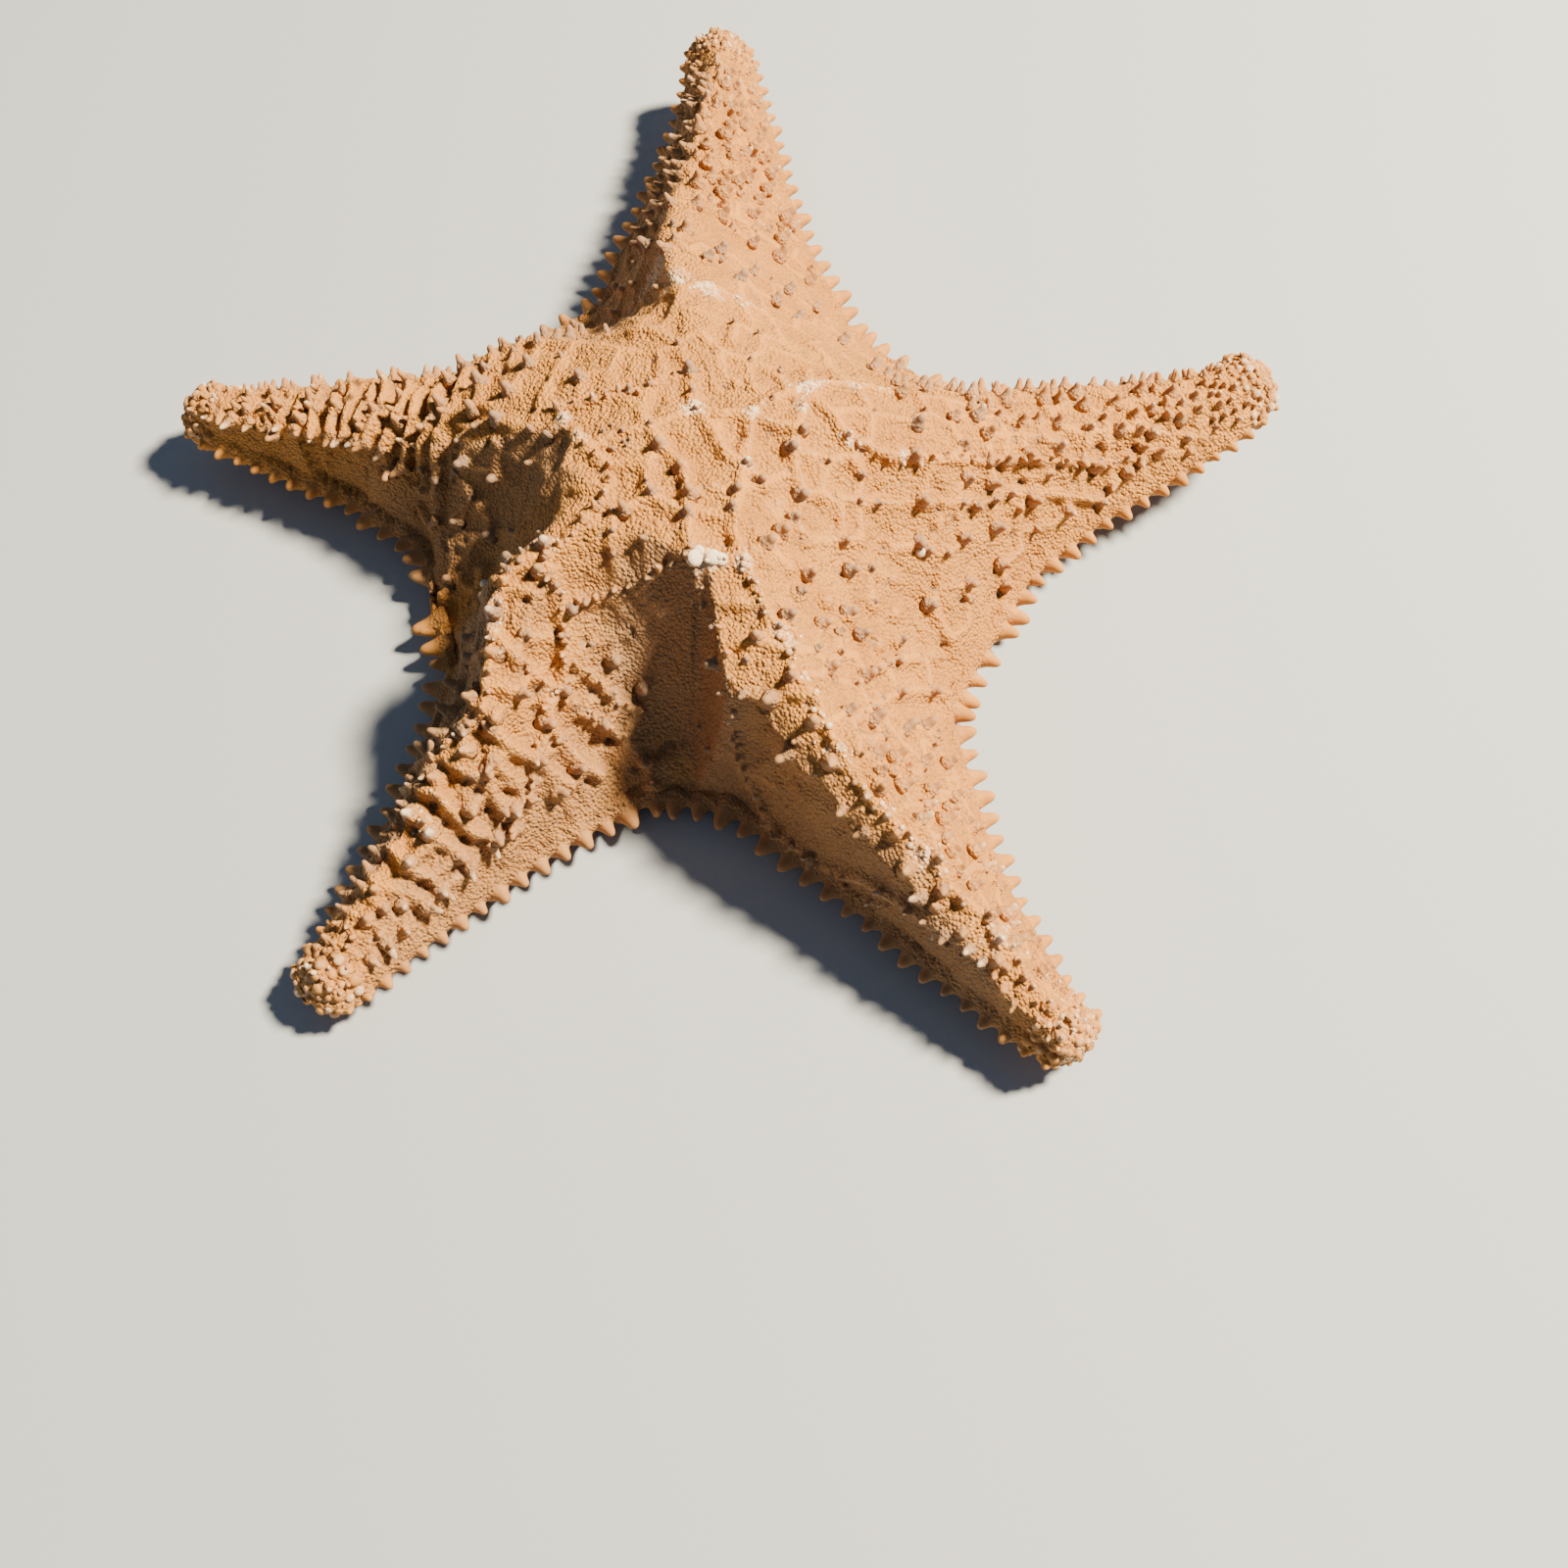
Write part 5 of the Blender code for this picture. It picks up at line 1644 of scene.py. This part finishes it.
class SEASTAR_OT_top_spines(bpy.types.Operator):
    """Set blunt spines and knobs on the net's nodes, and round knobs over the arm tips"""

    bl_idname = "sea_star.top_spines"
    bl_label = "Top spines"

    # Pairs are for the disc and the arms, for the rows of a change or for the ends of a range.
    TIP_ROWS = (1.72, 1.86)
    BROWN_ROWS = (0.95, 1.3)
    BROWN = (1.0, 0.5)
    TONES = (0.55, 1.0)
    WORN_SHARE = 0.2
    WORN_CRUST = 0.35
    EXTRA_SHARE = (0.3, 0.65)
    SMALLEST_EXTRA = (0.45, 0.55)
    LARGEST_EXTRA = (0.75, 0.9)
    SIZE_AT_TIP = 0.62
    LEAN = 0.1
    BEND = 0.08

    def execute(self, context):
        reader = Workshop.reader
        draw = random.Random(f"{RANDOM_SEED} top spines")
        spines, knobs = [], []
        for node in Workshop.net.nodes:
            out = float(ramp(node.row, *SPINES_START[node.shape.arm.name]))
            tip = float(ramp(node.row, *self.TIP_ROWS))
            item = self.on_node(node, out, tip, reader, draw)
            if item:
                (spines if out > 0.5 and tip < 0.5 else knobs).append(item)
        knobs.extend(self.cluster(reader, draw))
        knobs.extend(self.tip_knobs(reader, draw))
        spines.extend(self.fold_spines(reader, draw))
        spines.extend(self.teeth(reader, draw))
        material = spine_finish("spine_skin", colours().knob, 1.0)
        plant("top_spines", model_round("spine_form", SPINE_OUTLINE, 10), spines, material, "top")
        plant("top_knobs", model_round("knob_form", KNOB_OUTLINE, 9), knobs, material, "knobs")
        return {"FINISHED"}

    def on_node(self, node, out, tip, reader, draw):
        """The spine or knob on a node, or None where a node of the net alone has none."""
        place, facing = reader.settle(node.place)
        crust = crust_by(place) + TIP_CRUST * float(ramp(node.row, TIP_CRUST_START, 2.0))
        crust += self.WORN_CRUST * out * (draw.random() < self.WORN_SHARE)
        tone = mix(*self.BROWN, float(ramp(node.row, *self.BROWN_ROWS))) * draw.uniform(*self.TONES)
        spine, aim, size = node.spine, node.direction, 1.0
        if not spine:
            if draw.random() > mix(*self.EXTRA_SHARE, out):
                return None
            size = draw.uniform(mix(*self.SMALLEST_EXTRA, out), mix(*self.LARGEST_EXTRA, out))
            spine, aim = ARM_SPINE if out > 0.5 else DISC_KNOB, facing
        length, radius = spine.length * size, spine.radius * size
        shrink = mix(1.0, self.SIZE_AT_TIP, tip)
        lean = Vector([draw.uniform(-self.LEAN, self.LEAN) for _ in range(3)])
        bend = Vector([draw.uniform(-self.BEND, self.BEND) for _ in range(3)]) * length
        return Bead(place, aim + lean, radius * shrink, length * shrink, crust, tone, bend)

    def fold_spines(self, reader, draw):
        """The spine at the end of each fold."""
        for end, aim in Workshop.net.fold_ends:
            place, facing = reader.settle(end)
            size = draw.uniform(*FOLD_SPINE_SIZE)
            yield Bead(place, facing + aim * FOLD_SPINE_LEAN, FOLD_SPINE_RADIUS * size,
                       FOLD_SPINE_LENGTH * size, draw.uniform(*FOLD_SPINE_CRUST), tone=0.3)

    def teeth(self, reader, draw):
        """Small teeth along the rims of the hollows and the shoulders of the near arms."""
        for name in TOOTHED_RIDGES:
            for point in ridge_points(reader, MAIN_RIDGES[name], TOOTH_STEP):
                aside = Vector([draw.gauss(0.0, TOOTH_SCATTER) for _ in range(3)])
                place, facing = reader.settle(point + aside)
                size = draw.uniform(*TOOTH_SIZE)
                crust = crust_by(place) + draw.uniform(*TOOTH_CRUST)
                yield Bead(place, facing, TOOTH_RADIUS * size, TOOTH_LENGTH * size, crust, tone=0.25)

    def tip_knobs(self, reader, draw):
        """Round knobs, close together, over the last of each arm."""
        on_tips = (reader.rows > TIP_KNOB_ROW) & (reader.zones != UNDER)
        candidates = [int(i) for i in np.flatnonzero(on_tips)]
        draw.shuffle(candidates)
        taken = np.zeros((0, 3))
        for index in candidates:
            place = reader.places[index]
            if len(taken) and np.min(np.linalg.norm(taken - place, axis=1)) < TIP_KNOB_STEP:
                continue
            taken = np.vstack((taken, place))
            size = TIP_KNOB_RADIUS * draw.uniform(*TIP_KNOB_SIZE)
            facing = Vector(reader.facings[index])
            crust = draw.uniform(*TIP_KNOB_CRUST)
            yield Bead(Vector(place), facing, size * TIP_KNOB_WIDENING, size, crust, tone=0.2)

    def cluster(self, reader, draw):
        """The close group of small knobs on the left of the disc."""
        for _ in range(CLUSTER_COUNT):
            turn, away = draw.uniform(0.0, math.tau), CLUSTER_RADIUS * math.sqrt(draw.random())
            place, facing = reader.below(*place_round(CLUSTER_PLACE, turn, away))
            yield Bead(place, facing, CLUSTER_KNOB_RADIUS, CLUSTER_KNOB_HEIGHT, crust=0.0, tone=0.9)


class SEASTAR_OT_crust(bpy.types.Operator):
    """Set the sieve plate, the worn nodules and the small chalky grains"""

    bl_idname = "sea_star.crust"
    bl_label = "Crust"

    def execute(self, context):
        reader = Workshop.reader
        draw = random.Random(f"{RANDOM_SEED} crust")
        chalky, worn = [], []
        for x, y, radius, height in CHALK_KNOBS:
            place, facing = reader.below(*plan_place(x, y))
            chalky.append(Bead(place, facing, radius * MM, height * MM, crust=2.0, tone=0.0))
        for point in ridge_points(reader, MAIN_RIDGES[NODULE_RIDGE], NODULE_STEP):
            for _ in range(draw.choice(NODULE_COUNTS)):
                aside = Vector([draw.gauss(0.0, NODULE_SCATTER) for _ in range(3)])
                place, facing = reader.settle(point + aside)
                size = draw.uniform(*NODULE_RADIUS)
                crust = draw.uniform(*NODULE_CRUST)
                worn.append(Bead(place, facing, size, size * FLATNESS, crust, tone=0.0))
        for x, y, radius, strength in CRUSTS:
            for _ in range(round(radius * radius * strength * GRAINS_IN_CRUST)):
                turn, away = draw.uniform(0.0, math.tau), radius * abs(draw.gauss(0.0, GRAIN_SPREAD))
                place, facing = reader.below(*place_round((x, y), turn, away))
                size, crust = draw.uniform(*GRAIN_RADIUS), draw.uniform(*GRAIN_CRUST)
                worn.append(Bead(place, facing, size, size * FLATNESS, crust, tone=0.0))
        material = spine_finish("chalky_knob_skin", colours().chalk, 0.5)
        plant("chalk_knobs", model_round("chalk_form", CHALK_OUTLINE, 12), chalky, material, "chalk")
        material = spine_finish("worn_nodule_skin", colours().chalk, 0.5)
        plant("worn_nodules", model_round("grain_form", GRAIN_OUTLINE, 8), worn, material, "crust")
        return {"FINISHED"}


class SEASTAR_OT_underside(bpy.types.Operator):
    """Set the plates of the underside, and the fine spines along its grooves and mouth"""

    bl_idname = "sea_star.underside"
    bl_label = "Underside"

    # Plates vary in radius and wander aside by millimetres, furrow spines by shares.
    PLATE_STEP = 2.3 * MM
    PLATE_HEIGHT = 0.45 * MM
    PLATE_RADIUS = (0.85, 1.15)
    PLATE_WANDER = 0.35
    PLATE_RISE = 0.5 * MM
    PLATES_END = 0.97
    PLATES_REACH = 0.96
    GROOVE_MARGIN = 1.25
    FURROW_STEP = 2.2 * MM
    FURROW_START = 0.1
    FURROW_END = 0.95
    FURROW_FOOT = 0.92
    FURROW_AIM = 0.3
    FURROW_RISE = 0.9 * MM
    FURROW_LENGTH = 2.0 * MM
    FURROW_RADIUS = 0.42 * MM
    FURROW_REACH = 1.1
    FURROW_LIFT = (0.0, 0.15)
    FURROW_VARIATION = (0.85, 1.1)

    def execute(self, context):
        draw = random.Random(f"{RANDOM_SEED} underside")
        plates, furrow = [], []
        for shape in SHAPES:
            plates.extend(self.plates(shape, draw))
            furrow.extend(self.furrow(shape, draw))
        material = spine_finish("underside_plates_skin", colours().umber, 0.15)
        form = model_round("plate_form", PLATE_OUTLINE, 7)
        plant("underside_plates", form, plates, material, "plates")
        material = spine_finish("furrow_spine_skin", colours().umber, 0.3)
        plant("furrow_spines", model_round("furrow_form", SPINE_OUTLINE, 6), furrow, material, "furrow")
        return {"FINISHED"}

    def rows(self, shape, distance, end, step):
        """Rows set evenly from a distance from the disc's middle to a share of the arm."""
        while distance < shape.base.length + shape.length * end:
            if distance < shape.base.length:
                yield distance / shape.base.length
            else:
                yield 1.0 + (distance - shape.base.length) / shape.length
            distance += step

    def plates(self, shape, draw):
        """Low rounded plates in rows over the flats of the underside."""
        down = Vector((0.0, 0.0, -1.0))
        for row in self.rows(shape, self.PLATE_STEP, self.PLATES_END, self.PLATE_STEP):
            margin = shape.groove_share(row) * self.GROOVE_MARGIN
            line = shape.underside_row(row, UNDER_SAMPLES * self.PLATES_REACH)
            for point in even_points(line, self.PLATE_STEP):
                if abs(point[3]) < margin:
                    continue
                size = draw.uniform(*self.PLATE_RADIUS) * MM
                x, y = (draw.uniform(-self.PLATE_WANDER, self.PLATE_WANDER) for _ in range(2))
                place = Vector(point[:3]) + STAR_CENTRE + Vector((x, y, 0.0)) * MM
                place.z += self.PLATE_RISE
                yield Bead(place, down, size, self.PLATE_HEIGHT, crust=0.0, tone=draw.random())

    def furrow(self, shape, draw):
        """Short spines that lean over the groove from both its lips, level or above it."""
        start = shape.base.length * self.FURROW_START
        for row in self.rows(shape, start, self.FURROW_END, self.FURROW_STEP):
            lip = shape.groove_share(row)
            for side in (-1, 1):
                point = shape.underside_row(row, [side * lip * self.FURROW_FOOT])[0]
                inner = shape.underside_row(row, [side * lip * self.FURROW_AIM])[0]
                place = Vector(point[:3]) + STAR_CENTRE
                place.z += self.FURROW_RISE
                aim = Vector(inner[:3] - point[:3])
                aim.z = 0.0
                length = min(self.FURROW_LENGTH, aim.length * self.FURROW_REACH)
                facing = aim.normalized() + Vector((0.0, 0.0, draw.uniform(*self.FURROW_LIFT)))
                length *= draw.uniform(*self.FURROW_VARIATION)
                yield Bead(place, facing, self.FURROW_RADIUS, length, crust=0.0, tone=0.6)


class SEASTAR_OT_stage(bpy.types.Operator):
    """Lay the plain floor, set the soft lights and place the camera"""

    bl_idname = "sea_star.stage"
    bl_label = "Stage"

    FLOOR_SIZE = 8.0
    FLOOR_LEVEL = -0.1 * MM
    FLOOR_UNEVENNESS = 60.0 * MM
    KEY_PLACE = (0.95, 0.17, 1.28)
    KEY_SIZE = 0.25
    KEY_POWER = 170.0
    KEY_COLOUR = (1.0, 0.86, 0.59)
    FILL_PLACE = (-0.9, -0.9, 1.1)
    FILL_SIZE = 1.4
    FILL_POWER = 1.0
    FILL_COLOUR = (0.9, 0.95, 1.0)
    SKY_STRENGTH = 0.2
    SKY_COLOUR = (0.55, 0.77, 1.0, 1.0)

    def execute(self, context):
        deselect_all()
        bpy.ops.mesh.primitive_plane_add(size=self.FLOOR_SIZE, location=(0.0, 0.0, self.FLOOR_LEVEL))
        floor = bpy.context.object
        floor.name = "floor"
        finish = Finish("plain_floor")
        normal = finish.bump(finish.noise(self.FLOOR_UNEVENNESS), 0.02, 0.1 * MM)
        floor.data.materials.append(finish.end(opaque(colours().floor), 0.8, normal, 0.2))
        floor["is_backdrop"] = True
        self.light("key", self.KEY_PLACE, self.KEY_SIZE, self.KEY_POWER, self.KEY_COLOUR)
        self.light("fill", self.FILL_PLACE, self.FILL_SIZE, self.FILL_POWER, self.FILL_COLOUR)
        self.sky()
        self.camera()
        return {"FINISHED"}

    def light(self, name, place, size, power, colour):
        data = bpy.data.lights.new(name, "AREA")
        data.shape = "DISK"
        data.size = size
        data.energy = power
        data.color = colour
        lamp = bpy.data.objects.new(name, data)
        lamp.location = place
        lamp.rotation_euler = Vector(place).to_track_quat("Z", "Y").to_euler()
        bpy.context.scene.collection.objects.link(lamp)

    def sky(self):
        world = bpy.data.worlds.new("studio")
        world.use_nodes = True
        background = world.node_tree.nodes["Background"]
        background.inputs["Color"].default_value = self.SKY_COLOUR
        background.inputs["Strength"].default_value = self.SKY_STRENGTH
        bpy.context.scene.world = world

    def camera(self):
        data = bpy.data.cameras.new("camera")
        data.lens = CAMERA_LENS
        data.sensor_width = CAMERA_SENSOR
        data.clip_start = CAMERA_NEAREST
        camera = bpy.data.objects.new("camera", data)
        camera.location = CAMERA_PLACE
        camera.rotation_euler = [math.radians(angle) for angle in CAMERA_TURN]
        bpy.context.scene.collection.objects.link(camera)
        bpy.context.scene.camera = camera


class SEASTAR_PT_panel(bpy.types.Panel):
    """Lists the star's pieces in the order in which they are made"""

    bl_idname = "SEASTAR_PT_panel"
    bl_label = "Sea star"
    bl_space_type = "VIEW_3D"
    bl_region_type = "UI"
    bl_category = "Sea star"

    def draw(self, context):
        for operator in OPERATORS:
            self.layout.operator(operator.bl_idname)
        for group in (context.scene.sea_star_sizes, context.scene.sea_star_colours):
            for name in group.__annotations__:
                self.layout.prop(group, name)


OPERATORS = (
    SEASTAR_OT_skin,
    SEASTAR_OT_edge_spines,
    SEASTAR_OT_top_spines,
    SEASTAR_OT_crust,
    SEASTAR_OT_underside,
    SEASTAR_OT_stage,
)
CLASSES = (SeaStarSizes, SeaStarColours, *OPERATORS, SEASTAR_PT_panel)


def register():
    for item in CLASSES:
        bpy.utils.register_class(item)
    bpy.types.Scene.sea_star_sizes = PointerProperty(type=SeaStarSizes)
    bpy.types.Scene.sea_star_colours = PointerProperty(type=SeaStarColours)


def unregister():
    del bpy.types.Scene.sea_star_colours
    del bpy.types.Scene.sea_star_sizes
    for item in reversed(CLASSES):
        bpy.utils.unregister_class(item)


def write_sizes():
    """Work out the box of the solids and that of the finished model, rounded; the result is not kept."""
    boxes = {"cad": SOLID_BOX, "visual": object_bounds()}
    rounded = {name: [[round(x, 6) for x in corner] for corner in box] for name, box in boxes.items()}


def main():
    register()
    bpy.ops.sea_star.skin()
    bpy.ops.sea_star.edge_spines()
    bpy.ops.sea_star.top_spines()
    bpy.ops.sea_star.crust()
    bpy.ops.sea_star.underside()
    bpy.ops.sea_star.stage()
    write_sizes()


if __name__ == "__main__":
    main()
